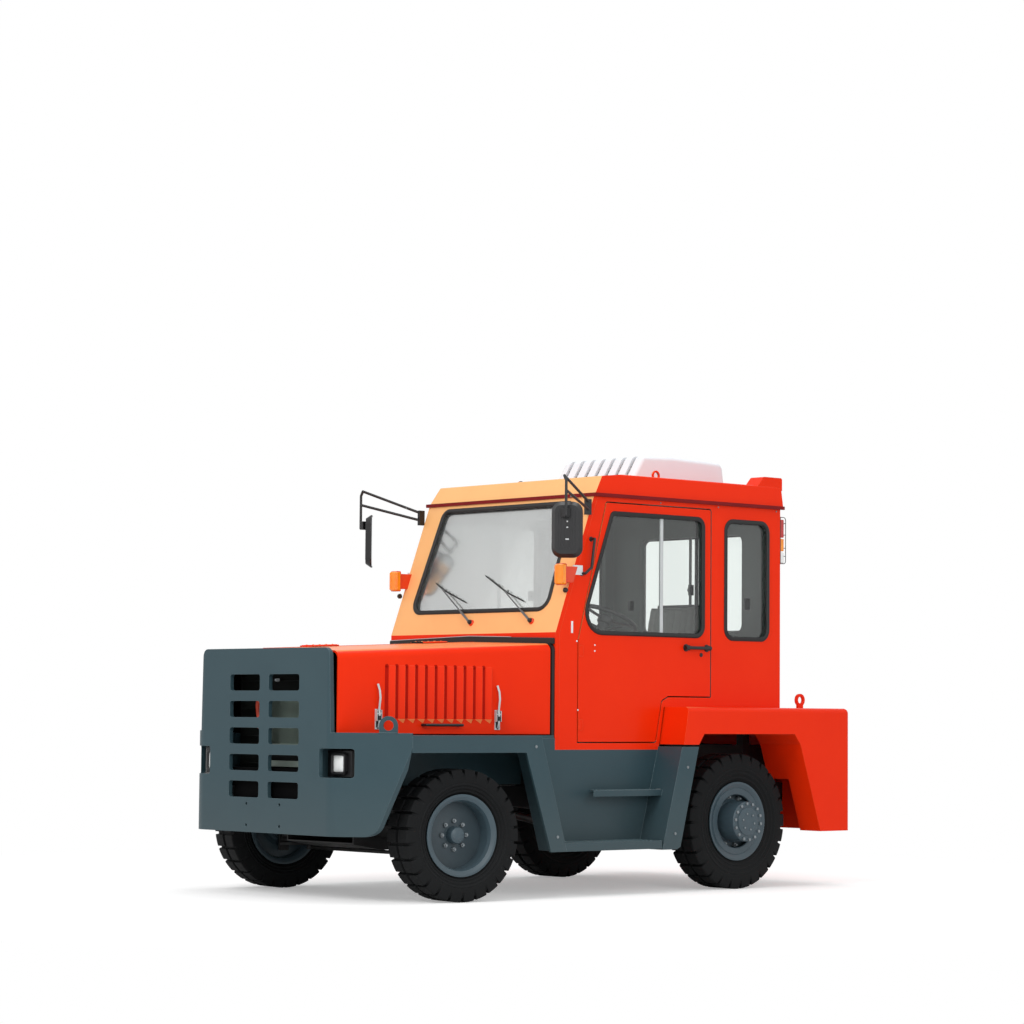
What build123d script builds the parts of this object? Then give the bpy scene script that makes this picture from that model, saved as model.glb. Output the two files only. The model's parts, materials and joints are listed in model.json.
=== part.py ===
from build123d import *
import math
import os

# Airport baggage tug: a four-wheeled tow tractor with a closed cab.
# Millimetres. X forward, Y to the vehicle's left, Z up, ground at Z 0.
# The origin is on the ground under the middle of the overall length and width.

os.makedirs("parts", exist_ok=True)

# ---------------------------------------------------------------- overall
FRONT_X = 1903.0
AXLE_X = 1203.0
WHEELBASE = 2160.0
REAR_AXLE_X = AXLE_X - WHEELBASE
BODY_REAR_X = -1843.0
HITCH_REAR_X = -1903.0
BODY_Y = 935.0
SIDES = ((1, "left"), (-1, "right"))

# ---------------------------------------------------------------- wheels
STEER_REST = -8.0
FRONT_TYRE_R = 360.0
FRONT_TYRE_W = 224.0
FRONT_WHEEL_Y = 812.0
FRONT_LUGS = 26
REAR_TYRE_R = 398.0
REAR_TYRE_W = 214.0
REAR_WHEEL_Y = 752.0
REAR_LUGS = 27
LUG_H = 20.0
LUG_FOOT = 50.0
LUG_SHARE = 0.74
CHANNEL_Y = 7.0
# rims: radius of the barrel, radius of the flanges
FRONT_RIM = (193.0, 223.0)
REAR_RIM = (198.0, 231.0)
RIM_HALF = 93.0
RIM_T = 9.0
KINGPIN_Y = 690.0
KINGPIN_R = 18.0
STUB_R = 30.0
SPINDLE_R = 50.0
RUN_GAP = 0.3
HUB_R = 117.0
HUB_OUT = 176.0

# ---------------------------------------------------------------- front plate
PLATE_T = 25.0
PLATE_BOTTOM = 357.0
PLATE_TOP = 1369.0
WING_TOP = 912.0
PLATE_BEND_R = 130.0
PLATE_CORNER_Y = 604.0
WING_END_X = AXLE_X + 409.0
WING_FOOT_Y = 785.0
PANEL_HEAD_Y = 576.0
PANEL_FOOT_Y = 590.0
OPENING_TOP = 807.0
SLOT_W = 275.0
SLOT_H = 90.0
SLOT_GAP = 82.0
SLOT_PITCH = 147.0
SLOT_TOP = 1226.0
SLOT_ROWS = 5
PANEL_CORNER_R = 45.0
WING_CORNER_R = 60.0
OPENING_R = 16.0
# openings for the headlamps: Y and Z of the middle, width, height
HEADLAMP_OPENING = (598.0, 748.0, 202.0, 156.0)
HITCH_HOLE_R = 9.0
HITCH_HOLE_DY = 302.0
HITCH_HOLE_DZ = 118.0
HITCH_HOLE_Z = 454.5

# ---------------------------------------------------------------- fenders and steps
FENDER_TOP = 900.0
SKIN = 16.0
STEP_Z = 304.0
STEP_LIP_Z = 257.0
PANEL_Y = 735.0

# ---------------------------------------------------------------- hood
HOOD_FRONT_X = AXLE_X + 655.0
HOOD_REAR_X = AXLE_X - 770.0
HOOD_FOOT_Z = 906.0
HOOD_T = 12.0
HOOD_EDGE_R = 45.0
SPINE_Y = 50.0
SPINE_T = 30.0
HOOD_INNER_Y = 62.0
HINGE_Y = 56.0
LOUVRES = 11
LOUVRE_PITCH = 65.0
LOUVRE_H = 290.0
LOUVRE_MID_X = AXLE_X - 14.0
LOUVRE_MID_Z = 1132.0
# scoop of a louvre: where it starts and ends about its middle, and how far its mouth stands out
LOUVRE_SCOOP = (-22.0, 18.0, 14.0)
# section of the hood at its two ends: X, half width, height of the centre, height of the shoulder
HOOD_SECTIONS = (
    (HOOD_FRONT_X, 600.0, 1373.0, 1352.0),
    (HOOD_REAR_X, 722.0, 1436.0, 1418.0),
)

# ---------------------------------------------------------------- cab
CAB_Y = 735.0
WALL = 40.0
FRONT_SKIN = 30.0
SILL_Z = 819.0
COWL_X = AXLE_X - 797.0
COWL_Z = 1483.0
RAIL_X = AXLE_X - 1090.0
RAIL_Z = 2280.0
CAB_REAR_X = AXLE_X - 2637.0
DECK_Z = 1068.0
FLOOR_Z = 855.0
ROOF_TOP = 2410.0
ROOF_REAR_X = AXLE_X - 2660.0
DOOR_GAP = 7.0
GLASS_T = 6.0
RAKE = math.degrees(math.atan2(COWL_X - RAIL_X, RAIL_Z - COWL_Z))


def fore(distance):
    """X of a point given by its distance ahead of the front axle."""
    return AXLE_X + distance


def export(builder, label):
    """Name a finished piece and write it."""
    builder.part.label = label
    export_step(builder.part, f"parts/{label}.step")


def standing_eye(at_x, at_y, foot_z, ring_r, hole_r, gauge):
    """Flat ring standing along X on a foot, for lifting or tying down."""
    with BuildSketch(Plane.XZ.offset(-at_y - gauge / 2)) as ring:
        with Locations((at_x, foot_z + ring_r)):
            Circle(ring_r)
        with Locations((at_x, foot_z)):
            Rectangle(1.2 * ring_r, ring_r)
        with Locations((at_x, foot_z + ring_r)):
            Circle(hole_r, mode=Mode.SUBTRACT)
    extrude(ring.sketch, amount=gauge)


def tube_run(points, radius):
    """Round bar through a row of points, rounded at the bends."""
    corners = [Vector(point) for point in points]
    for start, end in zip(corners, corners[1:]):
        with BuildSketch(Plane(origin=start, z_dir=end - start)) as section:
            Circle(radius)
        extrude(section.sketch, amount=(end - start).length)
    for bend in corners[1:-1]:
        with Locations(bend):
            Sphere(radius)


# ================================================================ chassis
RAIL_Y = 365.0
RAIL_W = 70.0
RAIL_H = 120.0
RAIL_MID_Z = 550.0
RAIL_FOOT_Z = RAIL_MID_Z - RAIL_H / 2
RAIL_FRONT = FRONT_X - PLATE_T
RAIL_REAR = BODY_REAR_X + 30.0
BALLAST_L = 320.0
BALLAST_H = 480.0
BALLAST_Z = 600.0
# crossmembers: X of the middle, length along X
CROSSMEMBERS = ((fore(600), 80), (fore(-760), 70), (fore(-1500), 70), (fore(-2560), 70))
# cab and body posts on the rails: X, top
POSTS = ((fore(-880), FLOOR_Z - 20), (fore(-1540), FLOOR_Z - 20), (fore(-2700), DECK_Z - 20))

with BuildPart() as chassis_frame:
    rail_mid_x = (RAIL_FRONT + RAIL_REAR) / 2
    with Locations((rail_mid_x, RAIL_Y, RAIL_MID_Z), (rail_mid_x, -RAIL_Y, RAIL_MID_Z)):
        Box(RAIL_FRONT - RAIL_REAR, RAIL_W, RAIL_H)
    for member_x, member_l in CROSSMEMBERS:
        with Locations((member_x, 0, RAIL_MID_Z)):
            Box(member_l, 2 * RAIL_Y, RAIL_H - 20)
    for post_x, post_top in POSTS:
        with Locations((post_x, RAIL_Y, RAIL_MID_Z), (post_x, -RAIL_Y, RAIL_MID_Z)):
            Box(60, 50, post_top - RAIL_MID_Z, align=(Align.CENTER, Align.CENTER, Align.MIN))
    # ballast weight between the rails at the rear
    with Locations((RAIL_REAR, 0, BALLAST_Z)):
        Box(BALLAST_L, 2 * RAIL_Y - RAIL_W, BALLAST_H, align=(Align.MIN, Align.CENTER, Align.CENTER))
export(chassis_frame, "chassis_frame")

# ================================================================ front plate
# plan of the plate: straight front, a soft bend at each corner, splayed wings back to the fenders
WING_END_Y = BODY_Y
EYE_R = 50.0
EYE_HOLE_R = 28.0
EYE_AT = (fore(497), 834.0, 952.0)
EYE_T = 20.0
# the wings are drawn a little long and then trimmed square where they meet the fenders
WING_SPARE = 50.0
wing_run = WING_SPARE * (FRONT_X - WING_END_X) / (WING_END_Y - PLATE_CORNER_Y)

with BuildPart() as front_plate:
    with BuildSketch(Plane.XY.offset(PLATE_BOTTOM)):
        with BuildLine():
            FilletPolyline(
                (WING_END_X - wing_run, WING_END_Y + WING_SPARE),
                (FRONT_X, PLATE_CORNER_Y),
                (FRONT_X, -PLATE_CORNER_Y),
                (WING_END_X - wing_run, -WING_END_Y - WING_SPARE),
                radius=PLATE_BEND_R,
            )
            offset(amount=PLATE_T, side=Side.RIGHT)
        make_face()
    extrude(amount=PLATE_TOP - PLATE_BOTTOM)
    # front view: wide wings low down, a narrower panel above them, both seen along X
    with BuildSketch(Plane.YZ.offset(WING_END_X)):
        with BuildLine():
            Polyline(
                (WING_FOOT_Y, PLATE_BOTTOM),
                (WING_END_Y, OPENING_TOP + 30),
                (WING_END_Y, WING_TOP),
                (PANEL_FOOT_Y, WING_TOP),
                (PANEL_HEAD_Y, PLATE_TOP),
                (-PANEL_HEAD_Y, PLATE_TOP),
                (-PANEL_FOOT_Y, WING_TOP),
                (-WING_END_Y, WING_TOP),
                (-WING_END_Y, OPENING_TOP + 30),
                (-WING_FOOT_Y, PLATE_BOTTOM),
                close=True,
            )
        outline = make_face()
        fillet(outline.vertices().group_by(Axis.Y)[-1], radius=PANEL_CORNER_R)
        fillet(outline.vertices().group_by(Axis.Y)[0], radius=WING_CORNER_R)
    extrude(amount=600, mode=Mode.INTERSECT)
    with BuildSketch(Plane.YZ.offset(FRONT_X - 200)):
        for row in range(SLOT_ROWS):
            slot_z = SLOT_TOP - SLOT_H / 2 - row * SLOT_PITCH
            slot_y = (SLOT_GAP + SLOT_W) / 2
            with Locations((slot_y, slot_z), (-slot_y, slot_z)):
                RectangleRounded(SLOT_W, SLOT_H, OPENING_R)
        with Locations((0, HITCH_HOLE_Z)):
            with GridLocations(HITCH_HOLE_DY, HITCH_HOLE_DZ, 2, 2):
                Circle(HITCH_HOLE_R)
        lamp_y, lamp_z, lamp_w, lamp_h = HEADLAMP_OPENING
        with Locations((lamp_y, lamp_z), (-lamp_y, lamp_z)):
            RectangleRounded(lamp_w, lamp_h, OPENING_R)
    extrude(amount=300, mode=Mode.SUBTRACT)
    # lifting eyes standing on the wings, in the plane of each wing
    for side, _ in SIDES:
        run = Vector(WING_END_X - FRONT_X, side * (WING_END_Y - PLATE_CORNER_Y), 0).normalized()
        inward = Vector(-abs(run.Y), -side * abs(run.X), 0)
        eye_at = Vector(EYE_AT[0], side * EYE_AT[1], EYE_AT[2]) + inward * 2
        with BuildSketch(Plane(origin=eye_at, x_dir=run, z_dir=inward)):
            Circle(EYE_R)
            with Locations((0, side * EYE_R / 2)):
                Rectangle(2 * EYE_R, 1.1 * EYE_R)
            Circle(EYE_HOLE_R, mode=Mode.SUBTRACT)
        extrude(amount=EYE_T)
export(front_plate, "front_plate")

# ================================================================ front fenders
# side view of a fender: skirt over the wheel, then the rear leg raked back to the step
LEG_TOP_OUT = fore(-515)
LEG_TOP_IN = fore(-407)
LEG_FOOT_OUT = fore(-712)
LEG_FOOT_IN = fore(-595)
APRON_Y = 440.0
WELL_FOOT_Z = 620.0

with BuildPart() as front_fenders:
    for side, _ in SIDES:
        outer = side * BODY_Y
        with BuildSketch(Plane.XZ.offset(-outer)):
            with BuildLine():
                Polyline(
                    (WING_END_X, OPENING_TOP),
                    (WING_END_X, FENDER_TOP),
                    (LEG_TOP_OUT, FENDER_TOP),
                    (LEG_FOOT_OUT, STEP_LIP_Z),
                    (LEG_FOOT_IN, STEP_LIP_Z),
                    (LEG_TOP_IN, OPENING_TOP),
                    close=True,
                )
            make_face()
        extrude(amount=side * SKIN)
        # raked wall behind the leg, in to the step panel
        with BuildSketch(Plane.XZ.offset(-outer)):
            with BuildLine():
                Polyline(
                    (LEG_TOP_OUT, FENDER_TOP),
                    (LEG_TOP_OUT + SKIN, FENDER_TOP),
                    (LEG_FOOT_OUT + SKIN, STEP_LIP_Z),
                    (LEG_FOOT_OUT, STEP_LIP_Z),
                    close=True,
                )
            make_face()
        extrude(amount=side * (BODY_Y - PANEL_Y + SKIN))
        # top, cut to the line of the wing
        with BuildSketch(Plane.XY.offset(FENDER_TOP - SKIN)):
            with BuildLine():
                Polyline(
                    (LEG_TOP_OUT, outer),
                    (WING_END_X, outer),
                    (WING_END_X, side * (WING_END_Y - 42)),
                    (FRONT_X - 44, side * (PLATE_CORNER_Y - 30)),
                    (FRONT_X - 44, side * APRON_Y),
                    (HOOD_REAR_X - 20, side * APRON_Y),
                    (HOOD_REAR_X - 20, side * PANEL_Y),
                    (LEG_TOP_OUT, side * PANEL_Y),
                    close=True,
                )
            make_face()
        extrude(amount=SKIN)
        # inner wall of the wheel well
        well_front = FRONT_X - PLATE_T
        well_mid_x = (well_front + HOOD_REAR_X - 20) / 2
        with Locations((well_mid_x, side * (APRON_Y + SKIN / 2), (FENDER_TOP + WELL_FOOT_Z) / 2)):
            Box(well_front - HOOD_REAR_X + 20, SKIN, FENDER_TOP - WELL_FOOT_Z)
export(front_fenders, "front_fenders")

# ================================================================ side steps
REAR_LEG_TOP = (fore(-1611), fore(-1746))
REAR_LEG_FOOT = (fore(-1454), fore(-1599))
LEG_TOP_Z = 838.0
LEG_FOOT_Z = 250.0
PANEL_TOP = SILL_Z
TREAD_Z = 590.0
TREAD_FRONT = fore(-1000)
TREAD_REAR = fore(-1548)
TREAD_OUT = 104.0
TREAD_T = 10.0
TREAD_LIP = 34.0
# how far the front end of the tread is cut back, for each millimetre towards the panel
TREAD_CUT = 0.72


def leg_back_x(at_z):
    """X of the back of the front leg's raked wall at a given height."""
    return LEG_TOP_OUT - (LEG_TOP_OUT - LEG_FOOT_OUT) * (FENDER_TOP - at_z) / (FENDER_TOP - STEP_LIP_Z)


with BuildPart() as side_steps:
    for side, _ in SIDES:
        outer = side * BODY_Y
        # recessed panel behind the steps
        with BuildSketch(Plane.XZ.offset(-side * PANEL_Y)):
            with BuildLine():
                Polyline(
                    (leg_back_x(FENDER_TOP - SKIN), FENDER_TOP - SKIN),
                    (leg_back_x(STEP_LIP_Z), STEP_LIP_Z),
                    (fore(-1390), STEP_LIP_Z),
                    (fore(-1548), PANEL_TOP),
                    (COWL_X, PANEL_TOP),
                    (COWL_X, FENDER_TOP - SKIN),
                    close=True,
                )
            make_face()
        extrude(amount=side * SKIN)
        # wall from the panel out to the rear leg
        with BuildSketch(Plane.XZ.offset(-outer)):
            with BuildLine():
                Polyline(
                    (REAR_LEG_TOP[0], LEG_TOP_Z),
                    (REAR_LEG_TOP[0] - SKIN, LEG_TOP_Z),
                    (REAR_LEG_FOOT[0] - SKIN, LEG_FOOT_Z),
                    (REAR_LEG_FOOT[0], LEG_FOOT_Z),
                    close=True,
                )
            make_face()
        extrude(amount=side * (BODY_Y - PANEL_Y))
        # panel behind that wall, closing the recess towards the rear wheel
        with BuildSketch(Plane.XZ.offset(-side * PANEL_Y)):
            with BuildLine():
                Polyline(
                    (fore(-1530), PANEL_TOP),
                    (fore(-1370), STEP_LIP_Z),
                    (REAR_LEG_FOOT[0] - SKIN, STEP_LIP_Z),
                    (REAR_LEG_TOP[0] - SKIN, PANEL_TOP),
                    close=True,
                )
            make_face()
        extrude(amount=side * SKIN)
        # outer face of the rear leg
        with BuildSketch(Plane.XZ.offset(-outer)):
            with BuildLine():
                Polyline(
                    (REAR_LEG_TOP[0], LEG_TOP_Z),
                    (REAR_LEG_TOP[1], LEG_TOP_Z),
                    (REAR_LEG_FOOT[1], LEG_FOOT_Z + 14),
                    (REAR_LEG_FOOT[1] + 30, LEG_FOOT_Z),
                    (REAR_LEG_FOOT[0], LEG_FOOT_Z),
                    close=True,
                )
            make_face()
        extrude(amount=side * SKIN)
        # lower step: a plate with a lip turned down at its outer edge
        step_rear = REAR_LEG_FOOT[0] + 4
        for foot_z, depth in ((STEP_Z - SKIN, BODY_Y - PANEL_Y), (STEP_LIP_Z, SKIN)):
            with BuildSketch(Plane.XZ.offset(-outer)):
                with BuildLine():
                    Polyline(
                        (leg_back_x(STEP_Z), STEP_Z),
                        (leg_back_x(foot_z), foot_z),
                        (step_rear, foot_z),
                        (step_rear, STEP_Z),
                        close=True,
                    )
                make_face()
            extrude(amount=side * depth)
        # foot tread half way up
        tread_y = side * (PANEL_Y + TREAD_OUT)
        for skin_back, depth in ((TREAD_OUT, TREAD_T), (TREAD_T, TREAD_LIP)):
            with BuildSketch(Plane.XY.offset(TREAD_Z)):
                with BuildLine():
                    Polyline(
                        (TREAD_FRONT, tread_y),
                        (TREAD_REAR, tread_y),
                        (TREAD_REAR, tread_y - side * skin_back),
                        (TREAD_FRONT - TREAD_CUT * skin_back, tread_y - side * skin_back),
                        close=True,
                    )
                make_face()
            extrude(amount=-depth)
export(side_steps, "side_steps")

# ================================================================ rear body
REAR_FACE_TOP_X = fore(-1664)
REAR_FACE_FOOT_X = fore(-1626)
REAR_FACE_FOOT_Z = 850.0
WELL_TOP_Z = 912.0
SKIRT_Z = 330.0
WELL_Y = 600.0
WELL_REAR_TOP = (fore(-2608), 850.0)
WELL_REAR_FOOT = (fore(-2783), SKIRT_Z)
DECK_EDGE_R = 30.0
# tie-down eye: X, Y, height of its foot, radius, radius of the hole, thickness
DECK_EYE = (fore(-2850), 700.0, DECK_Z + 12, 38.0, 22.0, 16.0)

with BuildPart() as rear_body:
    with BuildSketch(Plane.XZ.offset(-BODY_Y)):
        with BuildLine():
            Polyline(
                (REAR_FACE_FOOT_X, REAR_FACE_FOOT_Z),
                (REAR_FACE_TOP_X, DECK_Z),
                (BODY_REAR_X, DECK_Z),
                (BODY_REAR_X, SKIRT_Z),
                WELL_REAR_FOOT,
                WELL_REAR_TOP,
                (fore(-2556), WELL_TOP_Z),
                (fore(-1791), WELL_TOP_Z),
                (fore(-1748), REAR_FACE_FOOT_Z),
                close=True,
            )
        side_view = make_face()
        fillet(side_view.vertices().group_by(Axis.X)[0].sort_by(Axis.Y)[-1], radius=DECK_EDGE_R)
    extrude(amount=2 * BODY_Y)
    fillet(edges().filter_by(Axis.X).group_by(Axis.Z)[-1], radius=DECK_EDGE_R)
    # hollow behind the skins
    with BuildSketch(Plane.XZ.offset(-BODY_Y + SKIN)):
        with BuildLine():
            Polyline(
                (REAR_FACE_FOOT_X - SKIN, SKIRT_Z),
                (REAR_FACE_FOOT_X - SKIN, REAR_FACE_FOOT_Z),
                (REAR_FACE_TOP_X - SKIN, DECK_Z - 20),
                (BODY_REAR_X + 30, DECK_Z - 20),
                (BODY_REAR_X + 30, SKIRT_Z),
                close=True,
            )
        make_face()
    extrude(amount=2 * (BODY_Y - SKIN), mode=Mode.SUBTRACT)
    # wheel wells: rear wall of each well, deep above and narrow below
    for side, _ in SIDES:
        with BuildSketch(Plane.XZ.offset(-side * (BODY_Y - SKIN))):
            with BuildLine():
                Polyline(
                    WELL_REAR_TOP,
                    WELL_REAR_FOOT,
                    (WELL_REAR_FOOT[0] - SKIN, SKIRT_Z),
                    (WELL_REAR_TOP[0] - SKIN, WELL_REAR_TOP[1]),
                    close=True,
                )
            make_face()
        extrude(amount=side * 150)
        with BuildSketch(Plane.XZ.offset(-side * (BODY_Y - SKIN))):
            with BuildLine():
                Polyline(
                    (fore(-2556), WELL_TOP_Z),
                    WELL_REAR_TOP,
                    (fore(-2679), 640),
                    (fore(-2679) - SKIN, 640),
                    (WELL_REAR_TOP[0] - SKIN, WELL_REAR_TOP[1] + 6),
                    (fore(-2556) - SKIN, WELL_TOP_Z + SKIN),
                    (fore(-1791), WELL_TOP_Z + SKIN),
                    (fore(-1791), WELL_TOP_Z),
                    close=True,
                )
            make_face()
        extrude(amount=side * (BODY_Y - SKIN - WELL_Y))
        standing_eye(DECK_EYE[0], side * DECK_EYE[1], *DECK_EYE[2:])
export(rear_body, "rear_body")

# ================================================================ tow hitch
HITCH_Z = 455.0
PIN_R = 19.0
PIN_X = HITCH_REAR_X + 30
HITCH_PLATE = (8.0, 260.0, 190.0)
JAW_T = 24.0
JAW_SPREAD = 50.0
JAW_ROOT_Y = 90.0
JAW_TIP_Y = 60.0
# pieces of the tow pin: radius, height above the hitch's middle, length
PIN_PIECES = ((PIN_R, -85.0, 190.0), (PIN_R + 2, 65.0, 6.0), (PIN_R + 2, 105.0, 12.0))

with BuildPart() as tow_hitch:
    with Locations((BODY_REAR_X - HITCH_PLATE[0] / 2, 0, HITCH_Z)):
        Box(*HITCH_PLATE)
    for jaw_z in (HITCH_Z - JAW_SPREAD, HITCH_Z + JAW_SPREAD):
        jaw_root_x = BODY_REAR_X - HITCH_PLATE[0] / 2
        with BuildSketch(Plane.XY.offset(jaw_z - JAW_T / 2)):
            with BuildLine():
                FilletPolyline(
                    (jaw_root_x, JAW_ROOT_Y),
                    (HITCH_REAR_X, JAW_TIP_Y),
                    (HITCH_REAR_X, -JAW_TIP_Y),
                    (jaw_root_x, -JAW_ROOT_Y),
                    radius=20,
                )
                Line((jaw_root_x, -JAW_ROOT_Y), (jaw_root_x, JAW_ROOT_Y))
            make_face()
            with Locations((PIN_X, 0)):
                Circle(PIN_R + 1, mode=Mode.SUBTRACT)
        extrude(amount=JAW_T)
export(tow_hitch, "tow_hitch")

with BuildPart() as tow_pin:
    for piece_r, foot_up, piece_h in PIN_PIECES:
        with Locations((PIN_X, 0, HITCH_Z + foot_up)):
            Cylinder(piece_r, piece_h, align=(Align.CENTER, Align.CENTER, Align.MIN))
export(tow_pin, "tow_pin")

# ================================================================ hood
def hood_height(at_x, column):
    """Height of the hood's centre (2) or shoulder (3) at a given X."""
    front, rear = HOOD_SECTIONS
    share = (front[0] - at_x) / (front[0] - rear[0])
    return front[column] + share * (rear[column] - front[column])


def hood_half_width(at_x):
    """Half width of the hood at a given X."""
    return hood_height(at_x, 1)


def hood_section(side, at_x, half, centre_z, shoulder_z):
    """One end section of a hood half: top, rounded shoulder and side, as thick as the skin."""
    inner_z = centre_z + (shoulder_z - centre_z) * HOOD_INNER_Y / half
    with BuildSketch(Plane.YZ.offset(at_x)) as section:
        with BuildLine():
            FilletPolyline(
                (side * HOOD_INNER_Y, inner_z),
                (side * half, shoulder_z),
                (side * half, HOOD_FOOT_Z),
                radius=HOOD_EDGE_R,
            )
            offset(amount=HOOD_T, side=Side.RIGHT if side > 0 else Side.LEFT)
        make_face()
    return section.sketch


hood_taper = math.atan2(HOOD_SECTIONS[1][1] - HOOD_SECTIONS[0][1], HOOD_FRONT_X - HOOD_REAR_X)

for side, name in SIDES:
    with BuildPart() as hood:
        for section_row in HOOD_SECTIONS:
            add(hood_section(side, *section_row))
        loft()
        # pressed louvres: half-round scoops on the side, in line with its taper
        mid_half = hood_half_width(LOUVRE_MID_X)
        scoop_from, scoop_to, scoop_out = LOUVRE_SCOOP
        louvre_run = Vector(-math.cos(hood_taper), side * math.sin(hood_taper), 0)
        for number in range(LOUVRES):
            along = (number - (LOUVRES - 1) / 2) * LOUVRE_PITCH
            foot = Vector(LOUVRE_MID_X, side * (mid_half - 2), LOUVRE_MID_Z) + louvre_run * along
            louvre_plane = Plane(origin=foot - Vector(0, 0, LOUVRE_H / 2), x_dir=louvre_run, z_dir=(0, 0, 1))
            with BuildSketch(louvre_plane):
                with BuildLine():
                    Polyline((scoop_from, 0), (scoop_to, 0), (scoop_to, -side * scoop_out), close=True)
                make_face()
            extrude(amount=LOUVRE_H)
    export(hood, f"hood_{name}")

# fixed spine between the hood halves, from the front plate to the cab
with BuildPart() as hood_spine:
    spine_ends = (FRONT_X - PLATE_T, COWL_X)
    front_top, rear_top = (hood_height(end_x, 2) for end_x in spine_ends)
    with BuildSketch(Plane.XZ.offset(-SPINE_Y)):
        with BuildLine():
            Polyline(
                (spine_ends[0], front_top - SPINE_T),
                (spine_ends[0], front_top),
                (spine_ends[1], rear_top),
                (spine_ends[1], rear_top - SPINE_T),
                close=True,
            )
        make_face()
    extrude(amount=2 * SPINE_Y)
export(hood_spine, "hood_spine")

# hinges on the spine: a raised leaf with a barrel along each hinge line
HINGES = (fore(319), fore(-475))
HINGE_L = 182.0
BARREL_R = 5.0
LEAF_T = 9.0
WEB_W = 10.0
WEB_T = 4.0
spine_slope = math.degrees(math.atan2(
    HOOD_SECTIONS[1][2] - HOOD_SECTIONS[0][2], HOOD_FRONT_X - HOOD_REAR_X))

with BuildPart() as hood_hinges:
    for hinge_x in HINGES:
        top_z = hood_height(hinge_x, 2)
        tilted = Plane(origin=(hinge_x, 0, top_z), x_dir=(1, 0, -math.tan(math.radians(spine_slope))),
                       z_dir=(math.sin(math.radians(spine_slope)), 0, math.cos(math.radians(spine_slope))))
        with BuildSketch(tilted):
            RectangleRounded(HINGE_L, 2 * SPINE_Y, 8)
        extrude(amount=LEAF_T)
        for side, _ in SIDES:
            barrel_at = Vector(hinge_x, side * HINGE_Y, top_z + 2)
            with BuildSketch(Plane(origin=barrel_at - tilted.x_dir * HINGE_L / 2, z_dir=tilted.x_dir)):
                Circle(BARREL_R)
            extrude(amount=HINGE_L)
            with BuildSketch(Plane(origin=barrel_at - tilted.x_dir * HINGE_L / 2, z_dir=tilted.x_dir,
                                   x_dir=(0, 1, 0))):
                with Locations((-side * (HINGE_Y - SPINE_Y), 1.2)):
                    Rectangle(WEB_W, WEB_T)
            extrude(amount=HINGE_L)
export(hood_hinges, "hood_hinges")

# rubber strip round the rear end of the hood, against the cab
SEAL_FRONT_X = HOOD_REAR_X - 6.0
SEAL_W = 40.0
# how far the strip's outer edge lies outside the hood's side and above its shoulder
SEAL_OUT = 7.0
SEAL_RISE = 5.0

with BuildPart() as hood_gap_seal:
    rear_half = hood_half_width(HOOD_REAR_X)
    shoulder_z = hood_height(HOOD_REAR_X, 3)
    centre_z = hood_height(HOOD_REAR_X, 2)
    with BuildSketch(Plane.YZ.offset(COWL_X)):
        with BuildLine():
            FilletPolyline(
                (-rear_half - SEAL_OUT, FENDER_TOP),
                (-rear_half - SEAL_OUT, shoulder_z + SEAL_RISE),
                (-SPINE_Y - 1, centre_z - 3),
                radius=HOOD_EDGE_R,
            )
            offset(amount=SEAL_W, side=Side.RIGHT)
        make_face()
        mirror(about=Plane.YZ)
    extrude(amount=SEAL_FRONT_X - COWL_X)
export(hood_gap_seal, "hood_gap_seal")

# ================================================================ cab
RAKE_RAD = math.radians(RAKE)
SCREEN_TOP_Z = 2238.0
SCREEN_FOOT_Z = 1618.0
SCREEN_FOOT_Y = 602.0
SCREEN_TOP_Y = 574.0
SCREEN_FOOT_R = 75.0
SCREEN_TOP_R = 45.0
screen_plane = Plane(
    origin=(COWL_X, 0, COWL_Z), x_dir=(0, 1, 0), z_dir=(math.cos(RAKE_RAD), 0, math.sin(RAKE_RAD)))


def screen_outline(depth):
    """Windscreen outline on a plane lying a given depth behind the outer face of the panel."""
    rise = 1 / math.cos(RAKE_RAD)
    with BuildSketch(screen_plane.offset(-depth)) as outline:
        with BuildLine():
            Polyline(
                (-SCREEN_FOOT_Y, (SCREEN_FOOT_Z - COWL_Z) * rise),
                (SCREEN_FOOT_Y, (SCREEN_FOOT_Z - COWL_Z) * rise),
                (SCREEN_TOP_Y, (SCREEN_TOP_Z - COWL_Z) * rise),
                (-SCREEN_TOP_Y, (SCREEN_TOP_Z - COWL_Z) * rise),
                close=True,
            )
        make_face()
        fillet(outline.vertices().group_by(Axis.Y)[0], radius=SCREEN_FOOT_R)
        fillet(outline.vertices().group_by(Axis.Y)[-1], radius=SCREEN_TOP_R)
    return outline.sketch


def side_outline(points, at_y, radii):
    """Outline in side view on the plane Y = at_y, with a radius for each corner in turn."""
    with BuildSketch(Plane.XZ.offset(-at_y)) as outline:
        with BuildLine():
            Polyline(*points, close=True)
        make_face()
        for corner, radius in zip(points, radii):
            if radius:
                vertex = outline.vertices().sort_by_distance((corner[0], corner[1], 0))[0]
                fillet(vertex, radius=radius)
    return outline.sketch


# bent front panel: upright below the cowl, raked above it, with the windscreen opening
SKIN_X_AT_RAIL = FRONT_SKIN / math.cos(RAKE_RAD)
INNER_COWL_Z = COWL_Z - FRONT_SKIN * math.tan(RAKE_RAD / 2)

with BuildPart() as cab_front_panel:
    extrude(side_outline(
        (
            (COWL_X, SILL_Z),
            (COWL_X, COWL_Z),
            (RAIL_X, RAIL_Z),
            (RAIL_X - SKIN_X_AT_RAIL, RAIL_Z),
            (COWL_X - FRONT_SKIN, INNER_COWL_Z),
            (COWL_X - FRONT_SKIN, SILL_Z),
        ), CAB_Y, ()), amount=2 * CAB_Y)
    extrude(screen_outline(-10), amount=-80, mode=Mode.SUBTRACT)
export(cab_front_panel, "cab_front_panel")

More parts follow.
